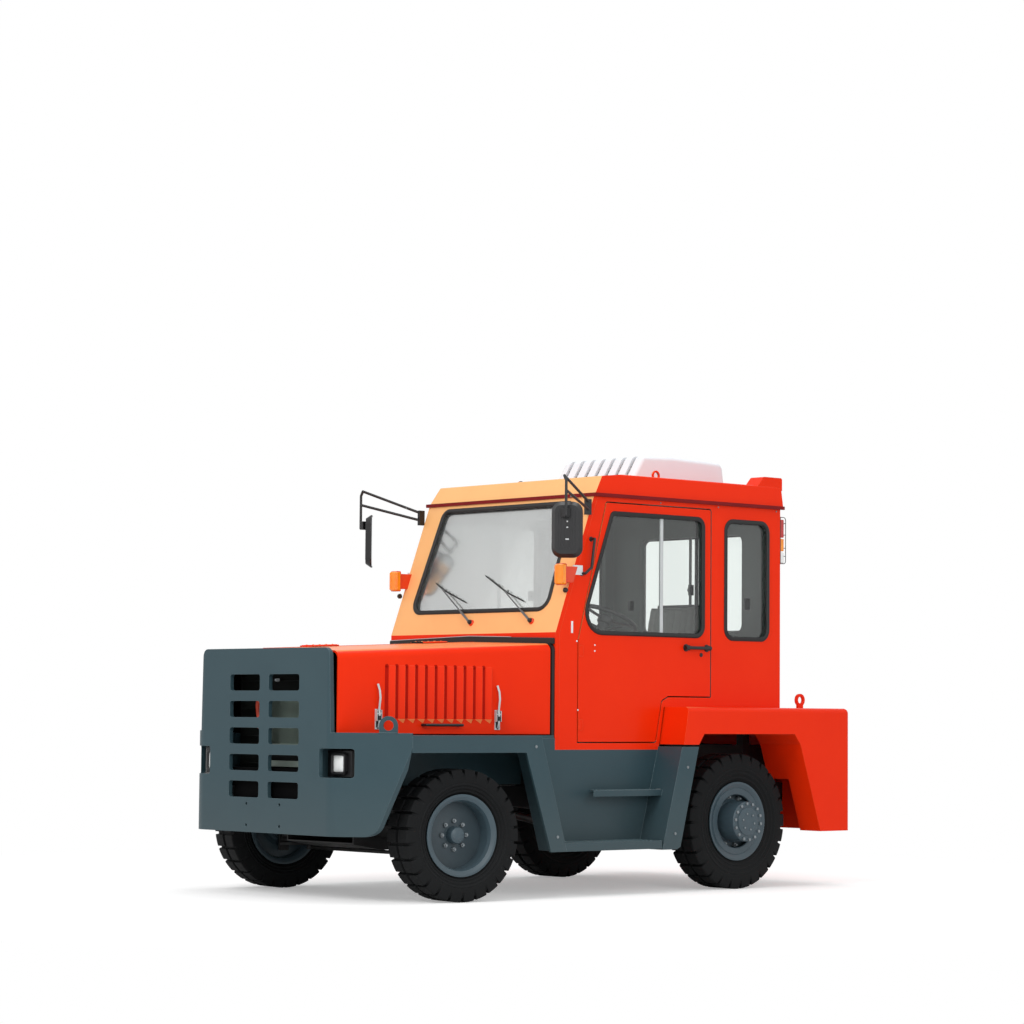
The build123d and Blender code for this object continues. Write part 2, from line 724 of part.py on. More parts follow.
# door outline, corner by corner from the lower front one, and the radius of each corner
DOOR = (
    (fore(-966), 857.0),
    (fore(-966), 1442.0),
    (fore(-1181), 2245.0),
    (fore(-2045), 2245.0),
    (fore(-2045), 1124.0),
    (fore(-1690), 1124.0),
    (fore(-1640), 1100.0),
    (fore(-1592), 857.0),
)
DOOR_RADII = (0, 60, 20, 20, 10, 30, 20, 20)
# window in the door, from its lower front corner
DOOR_WINDOW = (
    (fore(-984), 1486.0),
    (fore(-1232), 2180.0),
    (fore(-1977), 2180.0),
    (fore(-1977), 1486.0),
)
DOOR_WINDOW_RADII = (120, 25, 50, 60)
# quarter window: X and Z of its middle, length, height
QUARTER = (fore(-2347), 1829.0, 362.0, 700.0)
QUARTER_R = 60.0
REAR_WINDOW = (0.0, 1830.0, 900.0, 600.0)
REAR_WINDOW_R = 50.0
# how far the panes lie behind the outer face
GLASS_IN = 14.0
SIDE_REAR_FOOT = 8.0

with BuildPart() as cab_sides:
    for side, _ in SIDES:
        extrude(side_outline(
            (
                (COWL_X - FRONT_SKIN, SILL_Z),
                (COWL_X - FRONT_SKIN, INNER_COWL_Z),
                (RAIL_X - SKIN_X_AT_RAIL, RAIL_Z),
                (CAB_REAR_X, RAIL_Z),
                (CAB_REAR_X, DECK_Z),
                (REAR_FACE_TOP_X + SIDE_REAR_FOOT, DECK_Z),
                (REAR_FACE_FOOT_X + SIDE_REAR_FOOT, REAR_FACE_FOOT_Z),
                (REAR_FACE_FOOT_X + SIDE_REAR_FOOT, SILL_Z),
            ), side * CAB_Y, ()), amount=side * WALL)
    extrude(side_outline(DOOR, CAB_Y + 10, DOOR_RADII), amount=2 * CAB_Y + 20, mode=Mode.SUBTRACT)
    with BuildSketch(Plane.XZ.offset(-CAB_Y - 10)):
        with Locations(QUARTER[:2]):
            RectangleRounded(*QUARTER[2:], QUARTER_R)
    extrude(amount=2 * CAB_Y + 20, mode=Mode.SUBTRACT)
export(cab_sides, "cab_sides")

with BuildPart() as cab_rear_panel:
    with Locations((CAB_REAR_X + WALL / 2, 0, (DECK_Z + RAIL_Z) / 2)):
        Box(WALL, 2 * (CAB_Y - WALL), RAIL_Z - DECK_Z)
    with BuildSketch(Plane.YZ.offset(CAB_REAR_X - 10)):
        with Locations(REAR_WINDOW[:2]):
            RectangleRounded(*REAR_WINDOW[2:], REAR_WINDOW_R)
    extrude(amount=WALL + 20, mode=Mode.SUBTRACT)
export(cab_rear_panel, "cab_rear_panel")

with BuildPart() as cab_floor:
    with BuildSketch(Plane.XZ.offset(-CAB_Y + WALL)):
        with BuildLine():
            Polyline(
                (COWL_X - FRONT_SKIN, FLOOR_Z - 20),
                (COWL_X - FRONT_SKIN, FLOOR_Z),
                (REAR_FACE_FOOT_X, FLOOR_Z),
                (REAR_FACE_FOOT_X, FLOOR_Z - 20),
                close=True,
            )
        make_face()
    extrude(amount=2 * (CAB_Y - WALL))
export(cab_floor, "cab_floor")

# panes of the windscreen, quarter windows and rear window, filling their openings
with BuildPart() as cab_glass:
    extrude(screen_outline(GLASS_IN), amount=-GLASS_T)
    for side, _ in SIDES:
        with BuildSketch(Plane.XZ.offset(-side * (CAB_Y - GLASS_IN))):
            with Locations(QUARTER[:2]):
                RectangleRounded(*QUARTER[2:], QUARTER_R)
        extrude(amount=side * GLASS_T)
    with BuildSketch(Plane.YZ.offset(CAB_REAR_X + GLASS_IN)):
        with Locations(REAR_WINDOW[:2]):
            RectangleRounded(*REAR_WINDOW[2:], REAR_WINDOW_R)
    extrude(amount=GLASS_T)
export(cab_glass, "cab_glass")

# roof: a shallow pan open below, with raised corner blocks at the rear
ROOF_SKIN = 25.0
ROOF_SHOULDER_Y = 719.0
ROOF_FRONT = ((fore(-1163), 2393.0), (fore(-1330), ROOF_TOP))
ROOF_REAR = ((fore(-2590), ROOF_TOP), (ROOF_REAR_X, 2398.0))
ROOF_SIDE_Y = CAB_Y + 4
CORNER_BLOCK_TOP = 2466.0
CORNER_BLOCK_W = 110.0
ROOF_EYE = (fore(-1711), 600.0, ROOF_TOP - 8, 30.0, 19.0, 10.0)

with BuildPart() as roof_panel:
    extrude(side_outline(
        (
            (RAIL_X, RAIL_Z),
            *ROOF_FRONT,
            *ROOF_REAR,
            (ROOF_REAR_X, RAIL_Z),
        ), ROOF_SIDE_Y, (0, 12, 0, 0, 12)), amount=2 * ROOF_SIDE_Y)
    # sides lean in a little towards the top
    with BuildSketch(Plane.YZ.offset(ROOF_REAR_X - 10)):
        with BuildLine():
            Polyline(
                (-ROOF_SIDE_Y, RAIL_Z),
                (ROOF_SIDE_Y, RAIL_Z),
                (ROOF_SHOULDER_Y, ROOF_TOP),
                (-ROOF_SHOULDER_Y, ROOF_TOP),
                close=True,
            )
        roof_section = make_face()
        fillet(roof_section.vertices().group_by(Axis.Y)[-1], radius=14)
    extrude(amount=RAIL_X - ROOF_REAR_X + 20, mode=Mode.INTERSECT)
    extrude(side_outline(
        (
            (RAIL_X - ROOF_SKIN - 8, RAIL_Z - 1),
            (ROOF_FRONT[0][0] - ROOF_SKIN - 2, ROOF_FRONT[0][1] - ROOF_SKIN),
            (ROOF_FRONT[1][0], ROOF_TOP - ROOF_SKIN),
            (ROOF_REAR[0][0], ROOF_TOP - ROOF_SKIN),
            (ROOF_REAR_X + ROOF_SKIN + 2, ROOF_TOP - ROOF_SKIN),
            (ROOF_REAR_X + ROOF_SKIN + 2, RAIL_Z - 1),
        ), ROOF_SHOULDER_Y - ROOF_SKIN, ()), amount=2 * (ROOF_SHOULDER_Y - ROOF_SKIN), mode=Mode.SUBTRACT)
    for side, _ in SIDES:
        extrude(side_outline(
            (
                (fore(-2440), ROOF_TOP - 22),
                (fore(-2512), CORNER_BLOCK_TOP),
                (fore(-2672), CORNER_BLOCK_TOP),
                (fore(-2672), ROOF_TOP - 22),
            ), side * (ROOF_SHOULDER_Y - 2), (0, 14, 14)), amount=side * CORNER_BLOCK_W)
        standing_eye(ROOF_EYE[0], side * ROOF_EYE[1], *ROOF_EYE[2:])
export(roof_panel, "roof_panel")

# drip rail round the foot of the roof
with BuildPart() as drip_rail:
    with BuildSketch(Plane.XY.offset(RAIL_Z - 10)):
        rail_l = RAIL_X + 14 - ROOF_REAR_X - 4
        with Locations((RAIL_X + 14 - rail_l / 2, 0)):
            Rectangle(rail_l, 2 * (CAB_Y + 20))
    extrude(amount=20)
    with BuildSketch(Plane.XY.offset(RAIL_Z - 20)):
        with Locations(((RAIL_X + ROOF_REAR_X) / 2, 0)):
            Rectangle(RAIL_X - ROOF_REAR_X + 9, 2 * CAB_Y + 9)
    extrude(amount=60, mode=Mode.SUBTRACT)
export(drip_rail, "drip_rail")

# roof air unit: sloping slotted front, rounded box behind
AC_Y = 345.0
AC_FRONT = fore(-1770)
AC_REAR = fore(-2560)
AC_TOP = 2582.0
AC_SLITS = 7
AC_SLIT_W = 30.0

with BuildPart() as roof_air_unit:
    extrude(side_outline(
        (
            (AC_FRONT, ROOF_TOP),
            (AC_FRONT, ROOF_TOP + 30),
            (AC_FRONT - 85, AC_TOP - 8),
            (AC_FRONT - 330, AC_TOP),
            (AC_REAR + 24, AC_TOP - 12),
            (AC_REAR, ROOF_TOP),
        ), AC_Y, (0, 12, 40, 60, 50)), amount=2 * AC_Y)
    fillet(edges().filter_by(Axis.Y, reverse=True).group_by(Axis.Z)[-1], radius=25)
    slit_pitch = (2 * AC_Y - 50) / AC_SLITS
    for number in range(AC_SLITS):
        slit_y = (number - (AC_SLITS - 1) / 2) * slit_pitch
        extrude(side_outline(
            (
                (AC_FRONT + 10, ROOF_TOP + 34),
                (AC_FRONT - 28, ROOF_TOP + 34),
                (AC_FRONT - 108, AC_TOP - 36),
                (AC_FRONT - 140, AC_TOP - 30),
                (AC_FRONT - 140, AC_TOP + 10),
                (AC_FRONT + 10, AC_TOP + 10),
            ), slit_y + AC_SLIT_W / 2, ()), amount=AC_SLIT_W, mode=Mode.SUBTRACT)
export(roof_air_unit, "roof_air_unit")

# ================================================================ doors
DOOR_T = 38.0
DOOR_HINGES = (960.0, 1380.0)
DOOR_HINGE = (30.0, 4.0, 60.0)
HANDLE_Z = 1416.0
HANDLE_X = fore(-1918)
HANDLE_BAR = (208.0, 14.0, 20.0)
HANDLE_FOOT = (34.0, 18.0, 30.0)
HANDLE_FEET = (fore(-1834), fore(-2006))


def shrunk(sketch, amount):
    """A face drawn in by an even margin."""
    return offset(sketch, amount=-amount, mode=Mode.PRIVATE)


for side, name in SIDES:
    with BuildPart() as door:
        door_shape = shrunk(side_outline(DOOR, side * CAB_Y, DOOR_RADII), DOOR_GAP)
        extrude(door_shape, amount=side * DOOR_T)
        extrude(side_outline(DOOR_WINDOW, side * (CAB_Y + 10), DOOR_WINDOW_RADII),
                amount=side * (DOOR_T + 20), mode=Mode.SUBTRACT)
        # hinge leaves on the front edge
        for hinge_z in DOOR_HINGES:
            with Locations((fore(-993), side * (CAB_Y + DOOR_HINGE[1] / 2), hinge_z)):
                Box(*DOOR_HINGE)
    export(door, f"door_{name}")

    with BuildPart() as door_glass:
        extrude(side_outline(DOOR_WINDOW, side * (CAB_Y - 12), DOOR_WINDOW_RADII), amount=side * GLASS_T)
    export(door_glass, f"door_glass_{name}")

    with BuildPart() as door_handle:
        with Locations((HANDLE_X, side * (CAB_Y + 24), HANDLE_Z)):
            Box(*HANDLE_BAR)
        fillet(door_handle.edges().filter_by(Axis.X), radius=6)
        for foot_x in HANDLE_FEET:
            with Locations((foot_x, side * (CAB_Y + HANDLE_FOOT[1] / 2), HANDLE_Z)):
                Box(*HANDLE_FOOT)
    export(door_handle, f"door_handle_{name}")

# ================================================================ wheels
# Each wheel is drawn about its own centre, its axle along Y and its outer side towards +Y,
# then set in place: mirrored for the right side, and turned with the steering in front.


def ring_section(points, radii=()):
    """Half section of a turned piece: X is the radius and Y runs along the axle."""
    with BuildSketch(Plane.XY) as section:
        with BuildLine():
            Polyline(*points, close=True)
        make_face()
        for corner, radius in zip(points, radii):
            if radius:
                fillet(section.vertices().sort_by_distance((*corner, 0))[0], radius=radius)
    return section.sketch


def rim_profile(barrel_r, flange_r):
    """Section of a rim with a flange at each side, thick all round by one gauge."""
    outer = ((barrel_r, 60), (barrel_r + 7, 78), (flange_r, 84), (flange_r, RIM_HALF))
    inner = ((flange_r - 12, RIM_HALF), (barrel_r - 1, 84), (barrel_r - RIM_T, 62))
    half = outer + inner
    return half + tuple((radius, -along) for radius, along in reversed(half))


def flat_ring(near, far, lugs):
    """Flat-sided frustum about the axle: a wide flat for each lug, a narrow one for each groove.

    near and far are rows of corner radius and Y.
    """
    pitch = 2 * math.pi / lugs
    angles = [number * pitch + way * LUG_SHARE * pitch / 2 for number in range(lugs) for way in (-1, 1)]
    with BuildPart() as frustum:
        for corner_r, at_y in (near, far):
            with BuildSketch(Plane.XZ.offset(-at_y)):
                with BuildLine():
                    Polyline(*((corner_r * math.cos(a), corner_r * math.sin(a)) for a in angles), close=True)
                make_face()
        loft(ruled=True)
    return frustum.part


def tyre_lug(points, half_angle):
    """Wedge of one lug: its section stood on both edges of a wide flat and ruled between them."""
    with BuildPart() as lug:
        for lean in (-half_angle, half_angle):
            along = Vector(math.cos(lean), 0, math.sin(lean))
            with BuildSketch(Plane(origin=(0, 0, 0), x_dir=along, z_dir=(-along.Z, 0, along.X))):
                with BuildLine():
                    Polyline(*points, close=True)
                make_face()
        loft(ruled=True)
    return lug.part


def make_tyre(outer_r, width, barrel_r, flange_r, lugs):
    """Lugged tyre: a flat-sided carcass with two rows of shoulder lugs either side of a channel."""
    half_angle = LUG_SHARE * math.pi / lugs
    half_w = width / 2
    # corner radii: the flat top of the lowest lug lies on the ground
    top_r = outer_r / math.cos(half_angle)
    tread_r = top_r - LUG_H
    wall_r = tread_r - LUG_FOOT
    shoulder_y = half_w - 20
    lug_points = (
        (tread_r, CHANNEL_Y),
        (top_r, CHANNEL_Y + 8),
        (top_r, shoulder_y + 7),
        (wall_r, half_w),
        (tread_r, shoulder_y),
    )
    with BuildPart() as tyre:
        add(flat_ring((tread_r, -shoulder_y), (tread_r, shoulder_y), lugs))
        for row in (1, -1):
            add(flat_ring((tread_r, row * shoulder_y), (wall_r, row * half_w), lugs))
            hollow = ((wall_r, row * half_w), (flange_r + 3, row * 81), (barrel_r + 1, row * 60))
            for near, far in zip(hollow, hollow[1:]):
                add(flat_ring(near, far, lugs), mode=Mode.SUBTRACT)
        add(flat_ring((barrel_r + 1, -60), (barrel_r + 1, 60), lugs), mode=Mode.SUBTRACT)
        for row in (1, -1):
            lug = tyre_lug([(corner_r, row * at_y) for corner_r, at_y in lug_points], half_angle)
            add([lug.rotate(Axis.Y, number * 360 / lugs) for number in range(lugs)])
    return tyre.part.rotate(Axis.Y, 90)


def make_front_wheel():
    """Deep-dished rim of the steered wheel, disc and hub cap, bored for its stub axle."""
    with BuildPart() as wheel:
        revolve(ring_section(rim_profile(*FRONT_RIM)), axis=Axis.Y)
        revolve(ring_section((
            (0, 6),
            (0, 34),
            (38, 34),
            (46, 22),
            (48, 0),
            (86, 0),
            (120, -14),
            (FRONT_RIM[0] - 3, -14),
            (FRONT_RIM[0] - 3, -26),
            (116, -26),
            (84, -14),
            (66, -16),
            (66, -46),
            (STUB_R + RUN_GAP, -46),
            (STUB_R + RUN_GAP, 6),
        )), axis=Axis.Y)
    return wheel.part


def make_rear_wheel():
    """Rear rim with a broad ring inside its flange, and the drum hub standing out of it."""
    with BuildPart() as wheel:
        revolve(ring_section(rim_profile(*REAR_RIM)), axis=Axis.Y)
        revolve(ring_section((
            (REAR_RIM[0] - 3, 84),
            (160, 84),
            (156, 80),
            (156, 72),
            (REAR_RIM[0] - 3, 72),
        )), axis=Axis.Y)
        revolve(ring_section((
            (0, 120),
            (0, HUB_OUT + 8),
            (58, HUB_OUT + 8),
            (64, HUB_OUT),
            (HUB_R - 6, HUB_OUT),
            (HUB_R, HUB_OUT - 6),
            (HUB_R, 40),
            (HUB_R + 14, 30),
            (REAR_RIM[0] - 3, 30),
            (REAR_RIM[0] - 3, 16),
            (HUB_R - 12, 16),
            (HUB_R - 12, -60),
            (SPINDLE_R + RUN_GAP, -60),
            (SPINDLE_R + RUN_GAP, 120),
        )), axis=Axis.Y)
    return wheel.part


def place_wheel(piece, at_x, at_y, at_z, side, steer):
    """Set a wheel piece at its centre on one side, turned by its steering angle about the kingpin."""
    upright = piece if side > 0 else piece.mirror(Plane.XZ)
    offset_y = side * (at_y - KINGPIN_Y)
    turned = Pos(0, offset_y, 0) * upright
    if steer:
        turned = Rot(0, 0, steer) * turned
    return Pos(at_x, side * KINGPIN_Y, at_z) * turned


front_tyre = make_tyre(FRONT_TYRE_R, FRONT_TYRE_W, *FRONT_RIM, FRONT_LUGS)
rear_tyre = make_tyre(REAR_TYRE_R, REAR_TYRE_W, *REAR_RIM, REAR_LUGS)
front_wheel = make_front_wheel()
rear_wheel = make_rear_wheel()
# piece, node name, X, Y and Z of the wheel's centre, steering angle
WHEEL_PIECES = (
    (front_tyre, "front_tyre", AXLE_X, FRONT_WHEEL_Y, FRONT_TYRE_R, STEER_REST),
    (front_wheel, "front_wheel", AXLE_X, FRONT_WHEEL_Y, FRONT_TYRE_R, STEER_REST),
    (rear_tyre, "rear_tyre", REAR_AXLE_X, REAR_WHEEL_Y, REAR_TYRE_R, 0),
    (rear_wheel, "rear_wheel", REAR_AXLE_X, REAR_WHEEL_Y, REAR_TYRE_R, 0),
)
for piece, node, wheel_x, wheel_y, wheel_z, steer in WHEEL_PIECES:
    for side, name in SIDES:
        with BuildPart() as placed:
            add(place_wheel(piece, wheel_x, wheel_y, wheel_z, side, steer))
        export(placed, f"{node}_{name}")

# ================================================================ axles and steering
YOKE_GAP = 62.0
YOKE_T = 22.0
YOKE_R = 36.0
BEAM_END_Y = 640.0
BEAM_L = 90.0
BEAM_H = 80.0
BEAM_PLATE_T = 24.0
SADDLE_L = 120.0
ARM_L = 150.0
ARM_W = 40.0
ARM_Z = -104.0
ARM_BORE_R = 9.0

with BuildPart() as front_axle:
    with Locations((AXLE_X, 0, FRONT_TYRE_R)):
        Box(BEAM_L, 2 * BEAM_END_Y, BEAM_H)
    for side, _ in SIDES:
        plate_y = BEAM_END_Y - BEAM_PLATE_T
        with Locations((AXLE_X, side * (BEAM_END_Y - BEAM_PLATE_T / 2), FRONT_TYRE_R)):
            Box(BEAM_L, BEAM_PLATE_T, 2 * (YOKE_GAP + YOKE_T))
        for yoke_z in (FRONT_TYRE_R + YOKE_GAP, FRONT_TYRE_R - YOKE_GAP - YOKE_T):
            with BuildSketch(Plane.XY.offset(yoke_z)):
                with Locations((AXLE_X, side * KINGPIN_Y)):
                    Circle(YOKE_R)
                with Locations((AXLE_X, side * (KINGPIN_Y + plate_y) / 2)):
                    Rectangle(2 * YOKE_R, KINGPIN_Y - plate_y)
            extrude(amount=YOKE_T)
        with Locations((AXLE_X, side * KINGPIN_Y, FRONT_TYRE_R)):
            Cylinder(KINGPIN_R, 2 * (YOKE_GAP + YOKE_T) - 2)
        # spring saddle under each rail
        beam_top = FRONT_TYRE_R + BEAM_H / 2
        with Locations((AXLE_X, side * RAIL_Y, (beam_top + RAIL_FOOT_Z) / 2)):
            Box(SADDLE_L, RAIL_W, RAIL_FOOT_Z - beam_top)
export(front_axle, "front_axle")

for side, name in SIDES:
    with BuildPart() as knuckle_local:
        Cylinder(KINGPIN_R + 16, 2 * YOKE_GAP - 2)
        with BuildSketch(Plane.XZ):
            Circle(STUB_R)
        extrude(amount=-side * (FRONT_WHEEL_Y - KINGPIN_Y))
        # flange, and a strut down from it that carries the track arm under the yoke
        with Locations((0, side * 48, (ARM_Z - 30) / 2)):
            Box(60, 18, 30 - ARM_Z + 20)
        with BuildSketch(Plane.XY.offset(ARM_Z - 8)):
            with BuildLine():
                Polyline(
                    (30, side * 57),
                    (-34, side * 57),
                    (-ARM_L, side * ARM_W / 2),
                    (-ARM_L, -side * ARM_W / 2),
                    (-34, side * 6),
                    (30, side * 39),
                    close=True,
                )
            make_face()
            with Locations((-ARM_L, 0)):
                Circle(ARM_W / 2)
        extrude(amount=16)
        Cylinder(KINGPIN_R + RUN_GAP, 2 * YOKE_GAP + 10, mode=Mode.SUBTRACT)
        with Locations((-ARM_L, 0, ARM_Z)):
            Cylinder(ARM_BORE_R, 40, mode=Mode.SUBTRACT)
    with BuildPart() as knuckle:
        add(Pos(AXLE_X, side * KINGPIN_Y, FRONT_TYRE_R) * Rot(0, 0, STEER_REST) * knuckle_local.part)
    export(knuckle, f"knuckle_{name}")


def arm_eye(side):
    """Centre of the track rod's pivot on one knuckle arm, with the wheels as they stand."""
    turn = math.radians(STEER_REST)
    return (AXLE_X - ARM_L * math.cos(turn), side * KINGPIN_Y - ARM_L * math.sin(turn))


ROD_Z = FRONT_TYRE_R + ARM_Z - 22

with BuildPart() as track_rod:
    eyes = (arm_eye(1), arm_eye(-1))
    for eye_x, eye_y in eyes:
        with Locations((eye_x, eye_y, ROD_Z)):
            Cylinder(20, 24)
        with Locations((eye_x, eye_y, ROD_Z + 20)):
            Cylinder(ARM_BORE_R - RUN_GAP, 24)
    rod_from = Vector(eyes[0][0], eyes[0][1] - 10, ROD_Z)
    rod_to = Vector(eyes[1][0], eyes[1][1] + 10, ROD_Z)
    with BuildSketch(Plane(origin=rod_from, z_dir=rod_to - rod_from)):
        Circle(11)
    extrude(amount=(rod_to - rod_from).length)
export(track_rod, "track_rod")

TRUMPET_R = 72.0
TRUMPET_END_Y = 620.0
# half profile of the axle housing: radius, distance from the middle
HOUSING = ((TRUMPET_R, TRUMPET_END_Y), (TRUMPET_R, 230.0), (150.0, 110.0), (168.0, 50.0))
SPINDLE_FROM_Y = 600.0
REAR_SADDLE_L = 150.0

with BuildPart() as rear_axle:
    # turned housing: trumpets either side of the differential
    housing = ring_section(((0, -TRUMPET_END_Y),) + tuple((radius, -along) for radius, along in HOUSING)
                           + HOUSING[::-1] + ((0, TRUMPET_END_Y),))
    add(Pos(REAR_AXLE_X, 0, REAR_TYRE_R) * revolve(housing, axis=Axis.Y, mode=Mode.PRIVATE))
    for side, _ in SIDES:
        with BuildSketch(Plane.XZ.offset(-side * SPINDLE_FROM_Y)):
            with Locations((REAR_AXLE_X, REAR_TYRE_R)):
                Circle(SPINDLE_R)
        extrude(amount=-side * (REAR_WHEEL_Y + 100 - SPINDLE_FROM_Y))
        with Locations((REAR_AXLE_X, side * RAIL_Y, (REAR_TYRE_R + RAIL_FOOT_Z) / 2)):
            Box(REAR_SADDLE_L, RAIL_W, RAIL_FOOT_Z - REAR_TYRE_R)
export(rear_axle, "rear_axle")

# ================================================================ engine and radiator
ENGINE_X = fore(-150)
ENGINE_FOOT_Z = 620.0
ENGINE = (980.0, 500.0, 630.0)
ENGINE_BEARER = (620.0, 2 * RAIL_Y - RAIL_W, 70.0)

with BuildPart() as engine_block:
    with Locations((ENGINE_X, 0, ENGINE_FOOT_Z)):
        Box(*ENGINE, align=(Align.CENTER, Align.CENTER, Align.MIN))
    with Locations((ENGINE_X, 0, ENGINE_FOOT_Z + 5)):
        Box(*ENGINE_BEARER, align=(Align.CENTER, Align.CENTER, Align.MAX))
export(engine_block, "engine_block")

RADIATOR_X = fore(520)
RADIATOR_T = 80.0
RADIATOR_TOP = 1300.0

with BuildPart() as radiator:
    with Locations((RADIATOR_X, 0, RADIATOR_TOP)):
        Box(RADIATOR_T, 2 * RAIL_Y + RAIL_W, RADIATOR_TOP - RAIL_FOOT_Z - RAIL_H,
            align=(Align.CENTER, Align.CENTER, Align.MAX))
export(radiator, "radiator")

# ================================================================ hood fittings
LATCH_X = (fore(400), fore(-400))
HOOD_BAR_OUT = 42.0
HOOD_BAR_R = 8.0
HOOD_BAR_Z = 955.0
HOOD_BAR_ENDS = (fore(107), fore(-131))
# latch pieces: height of the middle, length along X, thickness, height, stand-off of the middle
LATCH_PIECES = ((985.0, 36, 12, 110, 6), (1060.0, 22, 10, 90, 14), (1138.0, 14, 9, 84, 22))

for side, name in SIDES:
    with BuildPart() as hood_latches:
        for latch_x in LATCH_X:
            face_y = hood_half_width(latch_x) + 2
            for mid_z, piece_l, piece_t, piece_h, stand_off in LATCH_PIECES:
                with Locations((latch_x, side * (face_y + stand_off), mid_z)):
                    Box(piece_l, piece_t, piece_h)
    export(hood_latches, f"hood_latches_{name}")

    with BuildPart() as hood_handle:
        feet = [Vector(end_x, side * (hood_half_width(end_x) + 1), HOOD_BAR_Z) for end_x in HOOD_BAR_ENDS]
        ends = [foot + Vector(0, side * HOOD_BAR_OUT, 0) for foot in feet]
        tube_run((feet[0], ends[0], ends[1], feet[1]), HOOD_BAR_R)
    export(hood_handle, f"hood_handle_{name}")


# ================================================================ cab fittings
def screen_x(at_z):
    """X of the cab's raked front face at a given height."""
    return COWL_X - (COWL_X - RAIL_X) * (at_z - COWL_Z) / (RAIL_Z - COWL_Z)


MIRROR_TUBE_R = 8.0
MIRROR_AT = (fore(-739), 886.0, 2055.0)
MIRROR_TURN = 41.3
MIRROR_T = 38.0
MIRROR_RIM_T = 8.0
MIRROR_FACE = (176.0, 316.0, 55.0)
MIRROR_BACK_TAPER = 35.0
MIRROR_BRACKET = (40.0, 20.0, 90.0)
MIRROR_CLAMP = (40.0, 30.0, 50.0)
# two stays of a mirror: points along each, as X, Y and Z
MIRROR_STAYS = (
    ((fore(-1029), 750, 2235), (fore(-701), 904, 2357), (fore(-700), 920, 2330), (fore(-700), 920, 2130)),
    ((fore(-1030), 750, 2190), (fore(-700), 920, 2275)),
)

with BuildPart() as mirrors:
    for side, _ in SIDES:
        # bracket on the cab side
        with Locations((fore(-1030), side * (CAB_Y + MIRROR_BRACKET[1] / 2), 2205)):
            Box(*MIRROR_BRACKET)
        for stay in MIRROR_STAYS:
            tube_run([(at_x, side * at_y, at_z) for at_x, at_y, at_z in stay], MIRROR_TUBE_R)
        with BuildPart(mode=Mode.PRIVATE) as head:
            with BuildSketch(Plane.YZ.offset(-MIRROR_T / 2)):
                RectangleRounded(*MIRROR_FACE)
            extrude(amount=MIRROR_RIM_T)
            with BuildSketch(Plane.YZ.offset(-MIRROR_T / 2 + MIRROR_RIM_T)):
                RectangleRounded(*MIRROR_FACE)
            extrude(amount=MIRROR_T - MIRROR_RIM_T, taper=MIRROR_BACK_TAPER)
        head_at = Pos(MIRROR_AT[0], side * MIRROR_AT[1], MIRROR_AT[2])
        add(head_at * Rot(0, 0, side * MIRROR_TURN) * head.part)
        # clamp between the tube and the back of the head
        with Locations((fore(-712), side * 904, 2150)):
            Box(*MIRROR_CLAMP)
export(mirrors, "mirrors")

LAMP_Y = 739.0
LAMP_Z = 1812.0
LAMP_BACK_X = fore(-846)
LAMP_ARM_H = 90.0
LAMP_ARM_W = 52.0
LENS_L = 50.0
LENS_W = 60.0
LENS_H = 115.0

with BuildPart() as turn_lamp_brackets:
    lamp_foot = LAMP_Z - LAMP_ARM_H / 2
    lamp_head = LAMP_Z + LAMP_ARM_H / 2
    for side, _ in SIDES:
        extrude(side_outline(
            (
                (LAMP_BACK_X, lamp_foot),
                (LAMP_BACK_X, lamp_head),
                (screen_x(lamp_head), lamp_head),
                (screen_x(lamp_foot), lamp_foot),
            ), side * (LAMP_Y + LAMP_ARM_W / 2), ()), amount=side * LAMP_ARM_W)
export(turn_lamp_brackets, "turn_lamp_brackets")

with BuildPart() as turn_lamp_lenses:
    for side, _ in SIDES:
        with BuildSketch(Plane.XY.offset(LAMP_Z - LENS_H / 2)) as lens_plan:
            with Locations((LAMP_BACK_X + LENS_L / 2, side * LAMP_Y)):
                Rectangle(LENS_L, LENS_W)
            fillet(lens_plan.vertices().group_by(Axis.X)[-1], radius=24)
        extrude(amount=LENS_H)
    chamfer(turn_lamp_lenses.faces().filter_by(Axis.Z).edges(), length=6)
export(turn_lamp_lenses, "turn_lamp_lenses")

HEADLAMP_Y = 570.0
HEADLAMP_Z = 745.0
HEADLAMP_OUT_Y = 660.0
HEADLAMP_BODY_X = fore(550)
HEADLAMP_BODY = (110.0, HEADLAMP_OUT_Y - APRON_Y - SKIN, 140.0)
HEADLAMP_LENS_X = fore(618)
HEADLAMP_LENS = (26.0, 120.0, 115.0)
REAR_LAMP_AT = (CAB_REAR_X - 30, 695.0, 2085.0)
REAR_LAMP = (60.0, 70.0, 290.0)

with BuildPart() as headlamps:
    for side, _ in SIDES:
        with Locations((HEADLAMP_BODY_X, side * (HEADLAMP_OUT_Y - HEADLAMP_BODY[1] / 2), HEADLAMP_Z)):
            Box(*HEADLAMP_BODY)
export(headlamps, "headlamps")

with BuildPart() as headlamp_lenses:
    for side, _ in SIDES:
        with Locations((HEADLAMP_LENS_X, side * HEADLAMP_Y, HEADLAMP_Z)):
            Box(*HEADLAMP_LENS)
    fillet(headlamp_lenses.edges().filter_by(Axis.X), radius=16)
    fillet(headlamp_lenses.faces().filter_by(Axis.X).group_by(Axis.X)[-1].edges(), radius=8)
export(headlamp_lenses, "headlamp_lenses")

with BuildPart() as rear_lamps:
    for side, _ in SIDES:
        with Locations((REAR_LAMP_AT[0], side * REAR_LAMP_AT[1], REAR_LAMP_AT[2])):
            Box(*REAR_LAMP)
    fillet(rear_lamps.faces().filter_by(Axis.X).group_by(Axis.X)[0].edges(), radius=10)
export(rear_lamps, "rear_lamps")

